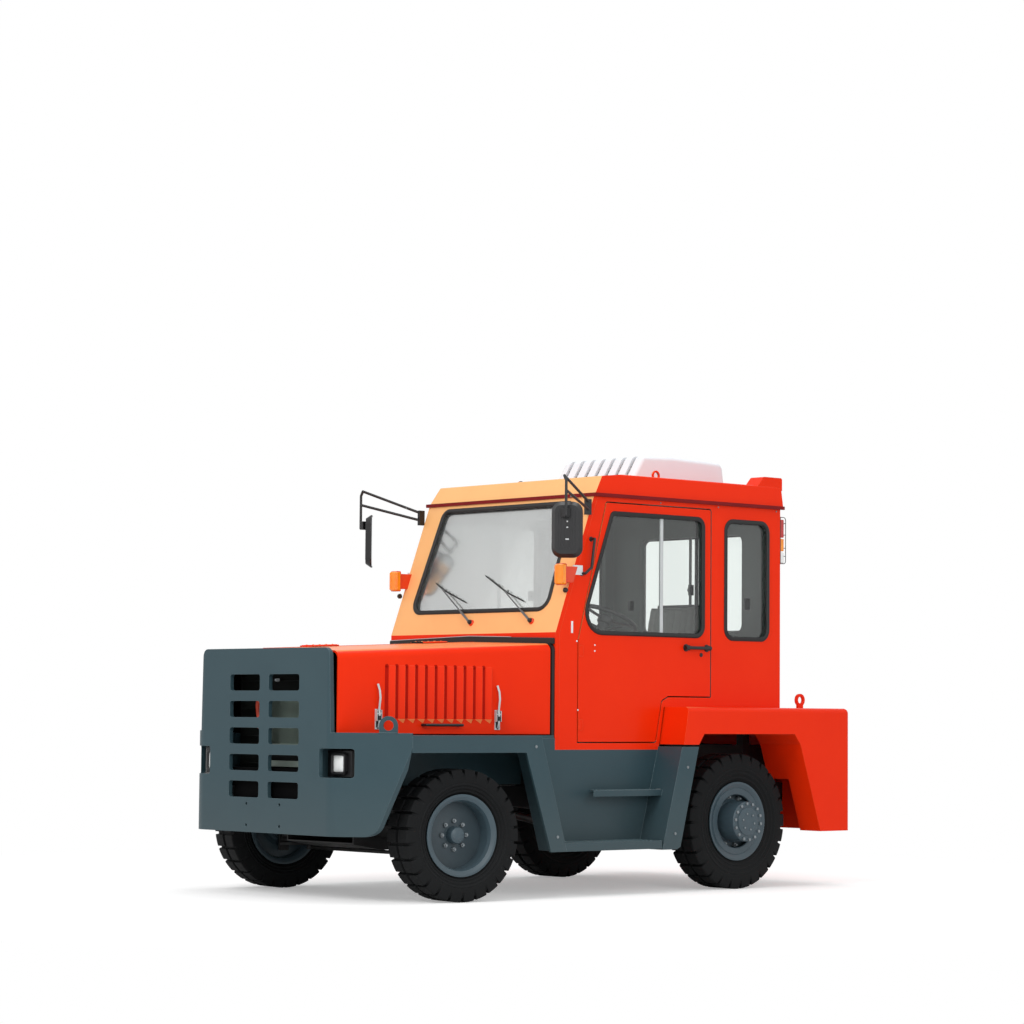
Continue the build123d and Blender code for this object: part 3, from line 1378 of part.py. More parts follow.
# wipers on the raked panel: pivot, end of the arm, the two ends of the blade; each as Y and Z
WIPERS = (
    ((-24, 1548), (-365, 1751), (-461, 1797), (-150, 1679)),
    ((503, 1549), (206, 1726), (-24, 1830), (371, 1673)),
)
PIVOT_R = 14.0
PIVOT_H = 26.0
ARM_R = 5.0
SCREEN_OUT = Vector(math.cos(RAKE_RAD), 0, math.sin(RAKE_RAD))


def on_screen(y_and_z, out):
    """Point standing a given distance out from the raked front face."""
    at_y, at_z = y_and_z
    return Vector(screen_x(at_z), at_y, at_z) + SCREEN_OUT * out


with BuildPart() as wipers:
    for pivot, arm_end, blade_from, blade_to in WIPERS:
        tube_run((on_screen(pivot, 0), on_screen(pivot, PIVOT_H)), PIVOT_R)
        tube_run((on_screen(pivot, 18), on_screen(arm_end, 14), on_screen(arm_end, -8)), ARM_R)
        tube_run((on_screen(blade_from, -8), on_screen(arm_end, -6), on_screen(blade_to, -8)), ARM_R)
export(wipers, "wipers")

# grab handle on each front pillar: X, distance out from the cab side, Z
GRAB_R = 8.0
GRAB = (
    (fore(-1065), 0, 2022),
    (fore(-1065), 32, 2022),
    (fore(-1041), 32, 1857),
    (fore(-994), 32, 1822),
    (fore(-994), 0, 1822),
)

with BuildPart() as grab_handles:
    for side, _ in SIDES:
        tube_run([(at_x, side * (CAB_Y + out), at_z) for at_x, out, at_z in GRAB], GRAB_R)
export(grab_handles, "grab_handles")

# ================================================================ driver's place
SEAT_Y = 300.0
SEAT_W = 480.0
CUSHION_TOP = 1280.0
PAN_Z = 1160.0
PAN_T = 14.0
PAN_W = SEAT_W - 20
PLINTH = (380.0, 360.0, PAN_Z - DECK_Z)
# side views of the two cushions, from the lower front corner, and the radius of each corner
CUSHION = (
    (fore(-1670), PAN_Z + PAN_T),
    (fore(-1670), CUSHION_TOP - 18),
    (fore(-1700), CUSHION_TOP),
    (fore(-2060), CUSHION_TOP - 16),
    (fore(-2060), PAN_Z + PAN_T),
)
CUSHION_RADII = (20, 30, 30, 20)
BACKREST = (
    (fore(-2062), 1200.0),
    (fore(-2158), 1690.0),
    (fore(-2190), 1712.0),
    (fore(-2250), 1700.0),
    (fore(-2146), 1200.0),
)
BACKREST_RADII = (20, 30, 30, 0, 20)

with BuildPart() as seat_frame:
    with Locations((fore(-1930), SEAT_Y, PAN_Z - PLINTH[2] / 2)):
        Box(*PLINTH)
    with Locations((fore(-1920), SEAT_Y, PAN_Z + PAN_T / 2)):
        Box(440, PAN_W, PAN_T)
    extrude(side_outline(
        (
            (fore(-2140), PAN_Z),
            (fore(-2252), 1690),
            (fore(-2264), 1686),
            (fore(-2154), PAN_Z),
        ), SEAT_Y + PAN_W / 2, ()), amount=PAN_W)
export(seat_frame, "seat_frame")

with BuildPart() as seat_pads:
    for points, radii in ((CUSHION, CUSHION_RADII), (BACKREST, BACKREST_RADII)):
        extrude(side_outline(points, SEAT_Y + SEAT_W / 2, radii), amount=SEAT_W)
export(seat_pads, "seat_pads")

WHEEL_AT = Vector(fore(-1590), SEAT_Y, 1580)
COLUMN_TILT = math.radians(25)
COLUMN_UP = Vector(-math.sin(COLUMN_TILT), 0, math.cos(COLUMN_TILT))
WHEEL_R = 190.0
RIM_R = 14.0
WHEEL_HUB = (46.0, 50.0)
SPOKE = (WHEEL_R, 26.0, 12.0)
COLUMN_R = 34.0
DASH_HALF = CAB_Y - WALL - 12
column_plane = Plane(
    origin=WHEEL_AT, x_dir=(math.cos(COLUMN_TILT), 0, math.sin(COLUMN_TILT)), z_dir=COLUMN_UP)
rim_plane = Plane(origin=WHEEL_AT, x_dir=column_plane.x_dir, z_dir=column_plane.y_dir)

with BuildPart() as dashboard:
    extrude(side_outline(
        (
            (COWL_X - FRONT_SKIN, 1080),
            (COWL_X - FRONT_SKIN, 1440),
            (fore(-1000), 1430),
            (fore(-1060), 1330),
            (fore(-980), 1080),
        ), DASH_HALF, (0, 0, 30, 30)), amount=2 * DASH_HALF)
    # column from the floor up to the wheel
    column_l = (WHEEL_AT.Z - FLOOR_Z) / COLUMN_UP.Z
    with BuildSketch(column_plane.offset(-WHEEL_HUB[1] / 2)) as column_section:
        Circle(COLUMN_R)
    extrude(column_section.sketch, amount=-column_l)
    with Locations((0, 0, FLOOR_Z - 500)):
        Box(6000, 2000, 1000, mode=Mode.SUBTRACT)
export(dashboard, "dashboard")

with BuildPart() as steering_wheel:
    with Locations(column_plane):
        Cylinder(*WHEEL_HUB)
        for turn in (0, 120, 240):
            with Locations(Rot(0, 0, turn) * Pos(WHEEL_R / 2, 0, 0)):
                Box(*SPOKE)
    with BuildSketch(rim_plane) as rim_section:
        with Locations((WHEEL_R, 0)):
            RegularPolygon(RIM_R, 6)
    revolve(rim_section.sketch, axis=Axis(WHEEL_AT, COLUMN_UP))
export(steering_wheel, "steering_wheel")
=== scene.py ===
import json
from math import atan2, cos, exp, pi, radians, sin, sqrt, tan

import bmesh
import bpy
from mathutils import Matrix, Vector


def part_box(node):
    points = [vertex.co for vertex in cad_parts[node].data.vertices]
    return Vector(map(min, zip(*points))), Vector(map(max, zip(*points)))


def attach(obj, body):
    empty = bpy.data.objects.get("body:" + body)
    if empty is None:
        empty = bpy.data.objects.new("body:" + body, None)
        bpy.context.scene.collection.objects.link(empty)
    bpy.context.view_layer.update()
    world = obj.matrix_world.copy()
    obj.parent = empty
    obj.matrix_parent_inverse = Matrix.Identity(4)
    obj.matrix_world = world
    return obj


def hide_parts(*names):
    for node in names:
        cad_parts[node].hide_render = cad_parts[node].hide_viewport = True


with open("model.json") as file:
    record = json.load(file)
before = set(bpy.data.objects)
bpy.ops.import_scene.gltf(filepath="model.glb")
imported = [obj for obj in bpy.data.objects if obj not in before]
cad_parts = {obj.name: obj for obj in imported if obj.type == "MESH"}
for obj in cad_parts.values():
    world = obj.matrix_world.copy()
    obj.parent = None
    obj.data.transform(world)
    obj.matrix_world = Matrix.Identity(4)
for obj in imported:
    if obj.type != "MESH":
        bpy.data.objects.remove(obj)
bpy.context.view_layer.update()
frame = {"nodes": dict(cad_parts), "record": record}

NODES = frame["nodes"]
SCENE = bpy.context.scene
FORWARD = Vector((1, 0, 0))
UP = Vector((0, 0, 1))
SIDES = ((1, "left"), (-1, "right"))
CORNERS = ((1, -1), (-1, -1), (-1, 1), (1, 1))
# the two axles and the radii of their tyres
AXLE_X = 1.203
REAR_X = -0.957
FRONT_R = 0.360
REAR_R = 0.398
# the plane of the cab's sides, the middle of the driver's place, and how far small parts stand off the paint
CAB_Y = 0.735
SEAT_Y = 0.300
PROUD = 0.0002


def fore(distance):
    """X of a point given by its distance ahead of the front axle."""
    return AXLE_X + distance


def add_object(name, data):
    """New object in the scene."""
    item = bpy.data.objects.new(name, data)
    SCENE.collection.objects.link(item)
    return item


# ------------------------------------------------------------------ camera
def add_camera():
    """Camera at the photograph's viewing angle."""
    turn, pitch, roll = radians(48.4916), radians(3.8495), radians(-0.4795)
    ahead = Vector((-cos(turn) * cos(pitch), -sin(turn) * cos(pitch), sin(pitch)))
    right = ahead.cross(UP).normalized()
    up = right.cross(ahead)
    rolled = (right * cos(roll) - up * sin(roll), up * cos(roll) + right * sin(roll), -ahead)
    data = bpy.data.cameras.new("camera")
    data.lens = 105.32
    data.sensor_width = 36.0
    data.clip_end = 200
    SCENE.camera = add_object("camera", data)
    matrix = Matrix(rolled).transposed().to_4x4()
    matrix.translation = (11.831, 13.263, 1.021)
    SCENE.camera.matrix_world = matrix


# ------------------------------------------------------------------ materials
class Graph:
    """Node tree of a material or of the world, emptied, with its output node."""

    def __init__(self, owner, output="OutputMaterial"):
        owner.use_nodes = True
        self.tree = owner.node_tree
        self.tree.nodes.clear()
        self.output = self.add(output)

    def feed(self, socket, value):
        """Sets a socket to a number or a colour, or links it to an output or to a node's first output."""
        if isinstance(value, bpy.types.Node):
            value = value.outputs[0]
        if isinstance(value, bpy.types.NodeSocket):
            self.tree.links.new(value, socket)
        else:
            socket.default_value = value

    def add(self, kind, *sources, **values):
        """A node: sources go to its first sockets, values to the sockets or properties they name."""
        node = self.tree.nodes.new("ShaderNode" + kind)
        for socket, source in zip(node.inputs, sources):
            self.feed(socket, source)
        for key, value in values.items():
            if key in node.inputs.keys():
                self.feed(node.inputs[key], value)
            else:
                setattr(node, key, value)
        return node

    def ramp(self, source, low, high, to_low=0.0, to_high=1.0):
        """Output that runs from one value to another as its source runs from low to high."""
        return self.add("MapRange", source, low, high, to_low, to_high).outputs[0]

    def times(self, first, second):
        """Product of two values, kept within 0 and 1."""
        return self.add("Math", first, second, operation="MULTIPLY", use_clamp=True).outputs[0]

    def dot(self, first, second):
        """Dot product of two vectors."""
        return self.add("VectorMath", first, second, operation="DOT_PRODUCT").outputs["Value"]

    def blend(self, share, base, colour):
        """Colour that turns from a base into another by a share."""
        base = rgba(base) if isinstance(base, tuple) else base
        return self.add("Mix", data_type="RGBA", Factor=share, A=base, B=rgba(colour)).outputs["Result"]

    def show(self, shader):
        """Ends the tree with a shader."""
        self.feed(self.output.inputs[0], shader)


def rgba(colour):
    """Linear RGBA of an sRGB colour given as 0 to 255."""
    shares = [channel / 255 for channel in colour]
    linear = [share / 12.92 if share <= 0.04045 else ((share + 0.055) / 1.055) ** 2.4 for share in shares]
    return (*linear, 1.0)


# direction that the faces with a painted highlight are turned to, and the X between which that painted
# highlight fades out
HIGHLIGHT_FACING = (0.55, 0.0, 0.85)
HIGHLIGHT_X = (-0.7, -0.1)


def surface(name, colour, second, roughness, spread, metallic=0.0, coat=0.0, specular=0.5, scale=8.0,
            grain=60.0, bump=(0.05, 0.002), dirt=None, faded=None, edge=None, soft_edge=0.0, inside=None):
    """Painted, moulded or rubber surface: two close tones, uneven roughness, fine bump, wear, low dirt,
    painted highlights.

    bump holds a strength and a depth; dirt a colour, the height it reaches and its share; edge the colour
    along edges, partly worn paint and partly a painted highlight, and its share; inside the colour of the
    faces that look in towards the middle of a shell, and that middle. The colour given for faces turned up
    and forward is a painted highlight, lighter paint standing in for strong light on them.
    """
    material = bpy.data.materials.new(name)
    graph = Graph(material)
    place = graph.add("TexCoord").outputs
    point, facing = place["Object"], place["Normal"]
    broad = graph.add("TexNoise", Vector=point, Scale=scale, Detail=6.0, Roughness=0.6).outputs["Fac"]
    fine = graph.add("TexNoise", Vector=point, Scale=grain, Detail=8.0, Roughness=0.65).outputs["Fac"]
    axes = graph.add("SeparateXYZ", point).outputs
    tint = graph.blend(broad, colour, second)
    if faded:
        # painted highlight: faces turned up and forward near the front are lightened towards the given
        # colour, standing in for strong light on them
        turned = graph.ramp(graph.dot(facing, HIGHLIGHT_FACING), 0.72, 0.79)
        patchy = graph.ramp(broad, 0.3, 0.6, 0.93, 1.0)
        share = graph.times(turned, graph.ramp(axes["X"], *HIGHLIGHT_X))
        tint = graph.blend(graph.times(share, patchy), tint, faded)
    if dirt:
        # dust that gathers low on the surface, broken up by the fine noise
        dust, top, amount = dirt
        patch = graph.times(graph.ramp(axes["Z"], top, 0.0), fine)
        tint = graph.blend(graph.times(patch, amount), tint, dust)
    depth = graph.add("Bump", Strength=bump[0], Distance=bump[1], Height=fine)
    if soft_edge:
        rounded = graph.add("Bevel", samples=4, Radius=soft_edge)
        graph.feed(depth.inputs["Normal"], rounded)
        if edge:
            # paint rubbed thin where the rounded normal leaves the true one; the edge colour is partly this
            # wear and partly a painted highlight along the edges
            true = graph.add("NewGeometry").outputs["Normal"]
            rim = graph.ramp(graph.dot(rounded, true), 0.985, 0.9)
            wear_and_highlight = graph.times(rim, graph.ramp(fine, 0.40, 0.62, 0.25, 1.0))
            tint = graph.blend(graph.times(wear_and_highlight, edge[1]), tint, edge[0])
    if inside:
        # faces that look in towards the middle take the inside colour; on the hood this near-black is
        # painted shade
        outward = graph.dot(graph.add("VectorMath", point, inside[1], operation="SUBTRACT"), facing)
        tint = graph.blend(graph.ramp(outward, 0.005, -0.005), tint, inside[0])
    rough = graph.ramp(fine, 0.0, 1.0, max(0.02, roughness - spread), roughness + spread)
    graph.show(graph.add("BsdfPrincipled", Metallic=metallic, Roughness=rough, Normal=depth, **{
        "Base Color": tint, "Coat Weight": coat, "Coat Roughness": 0.12, "Specular IOR Level": specular}))
    return material


def pane(name, screen_haze, haze=0.025, screen_x=-0.06):
    """Window glass: clear, with a film of dust and sky glare that has its own share ahead of screen_x."""
    material = bpy.data.materials.new(name)
    graph = Graph(material)
    clear = graph.add("BsdfTransparent", Color=rgba((251, 253, 252)))
    film = graph.add("BsdfPrincipled", Roughness=0.12, Metallic=0.9,
                     **{"Base Color": rgba((244, 245, 245)), "Specular IOR Level": 0.6})
    point = graph.add("TexCoord").outputs["Object"]
    smudge = graph.add("TexNoise", Vector=point, Scale=3.0, Detail=5.0).outputs["Fac"]
    ahead = graph.ramp(graph.add("SeparateXYZ", point), screen_x - 0.01, screen_x, haze, screen_haze)
    dust = graph.times(ahead, graph.ramp(smudge, 0.3, 0.7, 0.9, 1.05))
    facing = graph.add("LayerWeight", Blend=0.2)
    total = graph.add("Math", facing, dust, operation="ADD", use_clamp=True)
    graph.show(graph.add("MixShader", total, clear, film))
    return material


DUST = (128, 122, 112)
RED = ((241, 50, 8), (232, 42, 6), 0.32, 0.06)
# the peach for faces turned up and forward is a painted highlight; the lighter edge colour is partly wear,
# partly painted highlight
PAINT = dict(coat=0.02, specular=0.1, scale=3.0, grain=220.0, bump=(0.03, 0.0006), faded=(248, 188, 124),
             edge=((250, 120, 70), 0.55), soft_edge=0.004)
METAL = dict(metallic=0.6, grain=150.0)
LENS = dict(coat=0.5, scale=30.0, bump=(0.1, 0.002))
# name, the two tones, middle and spread of the roughness, and what else differs; edge colours are partly
# wear and partly painted highlight
LOOKS = (
    ("red_paint", *RED, PAINT),
    ("cab_paint", *RED, {**PAINT, "inside": ((88, 98, 95), (fore(-1.9), 0.0, 1.7))}),
    # hood: its inner faces near-black as painted shade, and an orange painted highlight on faces turned up
    # and forward
    ("hood_paint", *RED, {**PAINT, "inside": ((24, 25, 26), (AXLE_X, 0.0, 1.05)), "faded": (250, 132, 70)}),
    # drip rail: a darker red that is painted shade, standing in for the shade the rail sits in
    ("rail_paint", (132, 18, 20), (106, 12, 15), 0.4, 0.08,
     dict(specular=0.15, grain=150.0, soft_edge=0.002)),
    ("slot_shade", (184, 26, 10), (168, 20, 8), 0.6, 0.08, dict(specular=0.05, grain=150.0)),
    ("end_highlight", (255, 150, 92), (250, 128, 66), 0.4, 0.08, dict(grain=150.0)),
    ("grey_paint", (52, 75, 82), (44, 66, 74), 0.42, 0.08,
     dict(specular=0.3, scale=3.0, grain=260.0, bump=(0.06, 0.0008), dirt=(DUST, 0.7, 0.25),
          edge=((118, 140, 146), 0.7), soft_edge=0.004)),
    ("chassis_paint", (22, 24, 26), (15, 16, 18), 0.55, 0.1,
     dict(scale=6.0, grain=90.0, bump=(0.15, 0.002), dirt=(DUST, 0.5, 0.12), soft_edge=0.003)),
    ("wheel_paint", (60, 80, 90), (49, 67, 76), 0.42, 0.1,
     dict(scale=9.0, grain=160.0, bump=(0.08, 0.001), dirt=(DUST, 0.7, 0.15), edge=((120, 144, 154), 0.6),
          soft_edge=0.003)),
    ("dish_paint", (48, 66, 75), (38, 54, 62), 0.5, 0.1,
     dict(scale=9.0, grain=160.0, bump=(0.08, 0.001), dirt=(DUST, 0.7, 0.12))),
    ("tyre_rubber", (15, 17, 19), (9, 10, 11), 0.75, 0.12,
     dict(specular=0.18, scale=14.0, grain=140.0, bump=(0.3, 0.002), dirt=((72, 74, 74), 0.6, 0.14),
          edge=((56, 60, 62), 0.5), soft_edge=0.003)),
    ("black_rubber", (20, 21, 22), (12, 12, 13), 0.6, 0.1, dict(grain=180.0, bump=(0.15, 0.002))),
    ("black_plastic", (25, 26, 28), (17, 17, 19), 0.42, 0.08,
     dict(grain=240.0, bump=(0.2, 0.0008), edge=((74, 76, 80), 0.4), soft_edge=0.002)),
    ("latch_chrome", (205, 205, 205), (180, 182, 184), 0.2, 0.08, dict(metallic=1.0, grain=90.0)),
    ("white_plastic", (238, 242, 247), (229, 234, 240), 0.38, 0.06,
     dict(coat=0.1, scale=4.0, grain=120.0, bump=(0.05, 0.0008), edge=((206, 208, 214), 0.6),
          soft_edge=0.004)),
    ("lamp_orange", (230, 66, 18), (216, 52, 12), 0.35, 0.06, dict(coat=0.2, grain=120.0, soft_edge=0.002)),
    ("amber_lens", (255, 168, 24), (246, 120, 10), 0.14, 0.05, LENS),
    ("clear_lens", (252, 252, 250), (226, 232, 232), 0.12, 0.06, {**LENS, "scale": 40.0}),
    ("red_lens", (206, 24, 20), (168, 12, 10), 0.18, 0.05, LENS),
    ("seat_vinyl", (150, 150, 147), (126, 127, 125), 0.5, 0.08,
     dict(scale=20.0, grain=420.0, bump=(0.4, 0.0008))),
    ("engine_iron", (40, 43, 43), (26, 28, 28), 0.6, 0.12, dict(scale=12.0, bump=(0.4, 0.002))),
    ("radiator_metal", (34, 38, 36), (22, 25, 24), 0.5, 0.1, dict(metallic=0.4, grain=90.0)),
    ("nut_steel", (150, 158, 162), (108, 116, 120), 0.38, 0.12, METAL),
    ("slider_metal", (206, 210, 210), (186, 190, 192), 0.35, 0.08, {**METAL, "metallic": 0.3}),
    ("arm_metal", (120, 122, 122), (90, 92, 93), 0.35, 0.1, METAL),
    ("pin_steel", (150, 150, 150), (120, 120, 122), 0.35, 0.12, {**METAL, "metallic": 1.0}),
    ("lining", (92, 100, 98), (78, 86, 84), 0.7, 0.1, dict(scale=12.0, grain=300.0, bump=(0.3, 0.001))),
    ("mirror_glass", (225, 228, 230), (218, 222, 224), 0.04, 0.02,
     dict(metallic=1.0, grain=20.0, bump=(0.01, 0.002))),
    ("cooler_metal", (140, 154, 144), (112, 126, 118), 0.45, 0.1, dict(metallic=0.3, grain=90.0)),
    ("deep_shade", (10, 10, 11), (6, 6, 7), 0.8, 0.1, dict(specular=0.05, grain=90.0)),
    ("inlet_shade", (150, 148, 148), (118, 114, 112), 0.6, 0.1, dict(grain=120.0)),
    # step studs: a lighter grey, partly paint worn off them and partly a painted highlight
    ("step_edge", (98, 120, 126), (74, 96, 102), 0.45, 0.1, dict(grain=200.0)),
    ("hose_orange", (214, 62, 22), (186, 46, 14), 0.45, 0.08, dict(grain=90.0, bump=(0.2, 0.002))),
    ("reflector", (236, 238, 240), (214, 218, 222), 0.25, 0.08,
     dict(coat=0.3, scale=60.0, grain=200.0, bump=(0.1, 0.002))),
)
MATERIALS = {"glass": pane("glass", 0.34), "side_glass": pane("side_glass", 0.025)}
for row_name, *tones, options in LOOKS:
    MATERIALS[row_name] = surface(row_name, *tones, **options)
# nodes of the solids that look unlike their slot
OWN_LOOKS = {
    "cab_paint": ("cab_sides", "cab_front_panel", "cab_rear_panel", "door_left", "door_right", "roof_panel"),
    "hood_paint": ("hood_left", "hood_right", "hood_spine", "hood_hinges"),
    # drip rail in the darker red of painted shade
    "rail_paint": ("drip_rail",),
    "side_glass": ("door_glass_left", "door_glass_right"),
}


def dress_solids():
    """Every node of the solids in its slot's material, or in its own look."""
    looks = {subpart["node"]: subpart["material_slot"] for subpart in frame["record"]["subparts"]}
    for look, nodes in OWN_LOOKS.items():
        looks.update(dict.fromkeys(nodes, look))
    for node, look in looks.items():
        NODES[node].data.materials.clear()
        NODES[node].data.materials.append(MATERIALS[look])


# ------------------------------------------------------------------ stage
WHITE = (1, 1, 1, 1)
FLOOR_REACH = 60.0
FLOOR_GLOW = 0.34
WORLD_SOFT = 0.66
# name, place, aim, size and power of each soft lamp
LAMPS = (
    ("key", (9.0, 3.0, 6.5), (0.4, 0.0, 1.4), 4.0, 340.0),
    ("side", (3.0, 10.0, 4.5), (0.0, 0.0, 1.0), 5.0, 210.0),
    ("top", (-1.0, 0.0, 8.0), (0.0, 0.0, 1.5), 5.0, 130.0),
)


def add_stage():
    """Pale floor that keeps the object's shadow, white surroundings and soft studio light."""
    mesh = bpy.data.meshes.new("floor")
    mesh.from_pydata([(x * FLOOR_REACH, y * FLOOR_REACH, 0) for x, y in CORNERS[::-1]], [], [(0, 1, 2, 3)])
    floor = add_object("floor", mesh)
    material = bpy.data.materials.new("floor")
    graph = Graph(material)
    matte = graph.add("BsdfDiffuse", Color=(0.86, 0.86, 0.86, 1))
    lit = graph.add("AddShader", matte, graph.add("Emission", Color=WHITE, Strength=FLOOR_GLOW))
    # well away from the object the floor turns into the same white as the surroundings
    far = graph.add("Emission", Color=WHITE, Strength=1.0)
    point = graph.add("TexCoord").outputs["Object"]
    away = graph.add("VectorMath", point, operation="LENGTH").outputs["Value"]
    both = graph.add("MixShader", graph.ramp(away, 2.4, 5.0), lit, far)
    rays = graph.add("LightPath").outputs
    graph.show(graph.add("MixShader", rays["Is Camera Ray"], matte, both))
    mesh.materials.append(material)

    world = bpy.data.worlds.new("world")
    SCENE.world = world
    graph = Graph(world, "OutputWorld")
    soft = graph.add("Background", Color=WHITE, Strength=WORLD_SOFT)
    seen = graph.add("Background", Color=WHITE, Strength=1.0)
    rays = graph.add("LightPath").outputs
    direct = graph.add("Math", rays["Is Camera Ray"], rays["Is Transmission Ray"], operation="MAXIMUM")
    shiny = graph.add("Math", direct, rays["Is Glossy Ray"], operation="MAXIMUM")
    graph.show(graph.add("MixShader", shiny, soft, seen))

    for name, place, aim, size, power in LAMPS:
        data = bpy.data.lights.new(name, "AREA")
        data.shape = "DISK"
        data.size = size
        data.energy = power
        lamp = add_object(name, data)
        lamp.location = place
        lamp.rotation_euler = (Vector(aim) - Vector(place)).to_track_quat("-Z", "Y").to_euler()
    SCENE.view_settings.view_transform = "Standard"


# ------------------------------------------------------------------ shapes
def frame_of(normal, along=None):
    """Rotation whose Z is a normal and whose X lies nearest to a direction."""
    up = Vector(normal).normalized()
    side = Vector(along) if along else up.orthogonal()
    side = (side - up * side.dot(up)).normalized()
    return Matrix((side, up.cross(side), up)).transposed().to_4x4()


def polar(radius, angle, height=0.0):
    """Point at a radius, an angle round Z and a height."""
    return Vector((radius * cos(angle), radius * sin(angle), height))


def turns(count, start=0.0):
    """Angles spaced evenly round a circle."""
    return [start + 2 * pi * number / count for number in range(count)]


def row(count, pitch):
    """Offsets of a row of equal steps from its middle."""
    return [(number - (count - 1) / 2) * pitch for number in range(count)]


def flat(half_width, half_height):
    """Rectangular section of a swept bar."""
    return [(-half_width, -half_height), (half_width, -half_height), (half_width, half_height),
            (-half_width, half_height)]


def direction(start, end):
    """Unit vector from one point to another, or None where they meet."""
    return (end - start).normalized() if (end - start).length > 1e-9 else None


def rounded_path(corners, radii, steps=8, closed=True):
    """Path through corners, each cut by an arc of its own radius."""
    corners = [Vector(corner) for corner in corners]
    count = len(corners)
    points = []
    for index, here in enumerate(corners):
        if not closed and index in (0, count - 1):
            points.append(here)
            continue
        before = (corners[index - 1] - here).normalized()
        after = (corners[(index + 1) % count] - here).normalized()
        radius = radii[index] if isinstance(radii, tuple) else radii
        half = before.angle(after) / 2
        reach = radius / tan(half)
        centre = here + (before + after).normalized() * radius / sin(half)
        start = here + before * reach - centre
        end = here + after * reach - centre
        for step in range(steps + 1):
            points.append(centre + start.slerp(end, step / steps).normalized() * radius)
    return points


# angles between faces above which an edge is shaded sharp, and is bevelled
SHARP = radians(38)
BEVELLED = radians(35)


class Shape:
    """A mesh under construction: simple forms are added to it, then it becomes a piece."""

    def __init__(self):
        self.bm = bmesh.new()

    def skin(self, rings, closed=False):
        """Faces between rings of points; the ends are filled, or the last ring joins the first."""
        rings = [[self.bm.verts.new(point) for point in ring] for ring in rings]
        for low, high in zip(rings, rings[1:] + (rings[:1] if closed else [])):
            for number in range(len(low)):
                after = (number + 1) % len(low)
                self.bm.faces.new((low[number], low[after], high[after], high[number]))
        if not closed:
            self.bm.faces.new(rings[0])
            self.bm.faces.new(rings[-1])

    def box(self, centre, size, turn=Matrix()):
        """Box with its middle at a point, turned by a rotation."""
        matrix = Matrix.Translation(centre) @ turn @ Matrix.Diagonal((*size, 1))
        bmesh.ops.create_cube(self.bm, size=1.0, matrix=matrix)

    def disc(self, foot, axis, radius, depth, steps=24, top=None):
        """Cylinder or cone frustum standing on a point along an axis."""
        matrix = Matrix.Translation(Vector(foot) + Vector(axis).normalized() * depth / 2) @ frame_of(axis)
        bmesh.ops.create_cone(self.bm, cap_ends=True, segments=steps, radius1=radius,
                              radius2=radius if top is None else top, depth=depth, matrix=matrix)

    def lathe(self, centre, axis, profile, steps=48, closed=False):
        """Turned shape: profile rows are radius and height along the axis; closed makes a ring of it."""
        matrix = Matrix.Translation(centre) @ frame_of(axis)
        self.skin([[matrix @ polar(radius, turn, height) for turn in turns(steps)]
                   for radius, height in profile], closed)

    def sweep(self, path, section, closed=False, normal=None):
        """Sweeps a closed section (side, up) along a path; up keeps to the normal where one is given."""
        points = [Vector(point) for point in path]
        count = len(points)
        up = Vector(normal).normalized() if normal else None
        rings = []
        for index, point in enumerate(points):
            into = direction(points[index - 1], point) if closed or index else None
            out = direction(point, points[(index + 1) % count]) if closed or index < count - 1 else None
            tangent = ((into or out) + (out or into)).normalized()
            if up is None:
                up = tangent.orthogonal().normalized()
            side = tangent.cross(up).normalized()
            if normal is None:
                up = side.cross(tangent).normalized()
            widen = 1.0
            if into and out:
                widen = 1.0 / max(0.5, sqrt(max(0.0, (1 + into.dot(out)) / 2)))
            rings.append([point + side * across * widen + up * rise for across, rise in section])
        self.skin(rings, closed)

    def tube(self, path, radius, steps=8, bend=0.0):
        """Round bar, pipe or hose along a path, its corners bent to a radius."""
        path = rounded_path(path, bend, closed=False) if bend else path
        self.sweep(path, [(radius * cos(turn), radius * sin(turn)) for turn in turns(steps)])

    def piece(self, name, slot, body="chassis", bevel=0.0, smooth=True, look=None, instead=None):
        """Object with a slot's material or another look, on a body, in place of a node if one is named."""
        bmesh.ops.recalc_face_normals(self.bm, faces=self.bm.faces)
        self.bm.normal_update()
        for face in self.bm.faces:
            face.smooth = smooth
        for edge in self.bm.edges:
            if smooth and len(edge.link_faces) == 2 and edge.calc_face_angle(0) > SHARP:
                edge.smooth = False
        mesh = bpy.data.meshes.new(name)
        self.bm.to_mesh(mesh)
        self.bm.free()
        mesh.materials.append(MATERIALS[look or slot])
        piece = add_object(name, mesh)
        if bevel:
            rounded = piece.modifiers.new("rounded", "BEVEL")
            rounded.width = bevel
            rounded.segments = 2
            rounded.limit_method = "ANGLE"
            rounded.angle_limit = BEVELLED
        if smooth:
            piece.modifiers.new("shading", "WEIGHTED_NORMAL").keep_sharp = True
        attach(piece, body)
        if instead:
            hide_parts(instead)
        return piece


def shapes(count):
    """Several empty shapes."""
    return [Shape() for _ in range(count)]


# ------------------------------------------------------------------ windows
COWL = (fore(-0.797), 1.483)
RAIL = (fore(-1.090), 2.280)
RAKE = atan2(COWL[0] - RAIL[0], RAIL[1] - COWL[1])
SCREEN_OUT = Vector((cos(RAKE), 0, sin(RAKE)))
SEAL = [(-0.012, -0.006), (-0.012, 0.004), (-0.006, 0.009), (0.006, 0.009), (0.014, 0.003), (0.014, -0.006)]
SCREEN = ((-0.602, 1.618), (0.602, 1.618), (0.574, 2.238), (-0.574, 2.238))
# X and Z of the middle of the quarter window and its half sizes; the rear window's X, Z and half sizes
QUARTER = (fore(-2.347), 1.829, 0.181, 0.350)
REAR_WINDOW = (fore(-2.637), 1.830, 0.450, 0.300)
DOOR_WINDOW = ((-0.984, 1.486), (-1.232, 2.180), (-1.977, 2.180), (-1.977, 1.486))
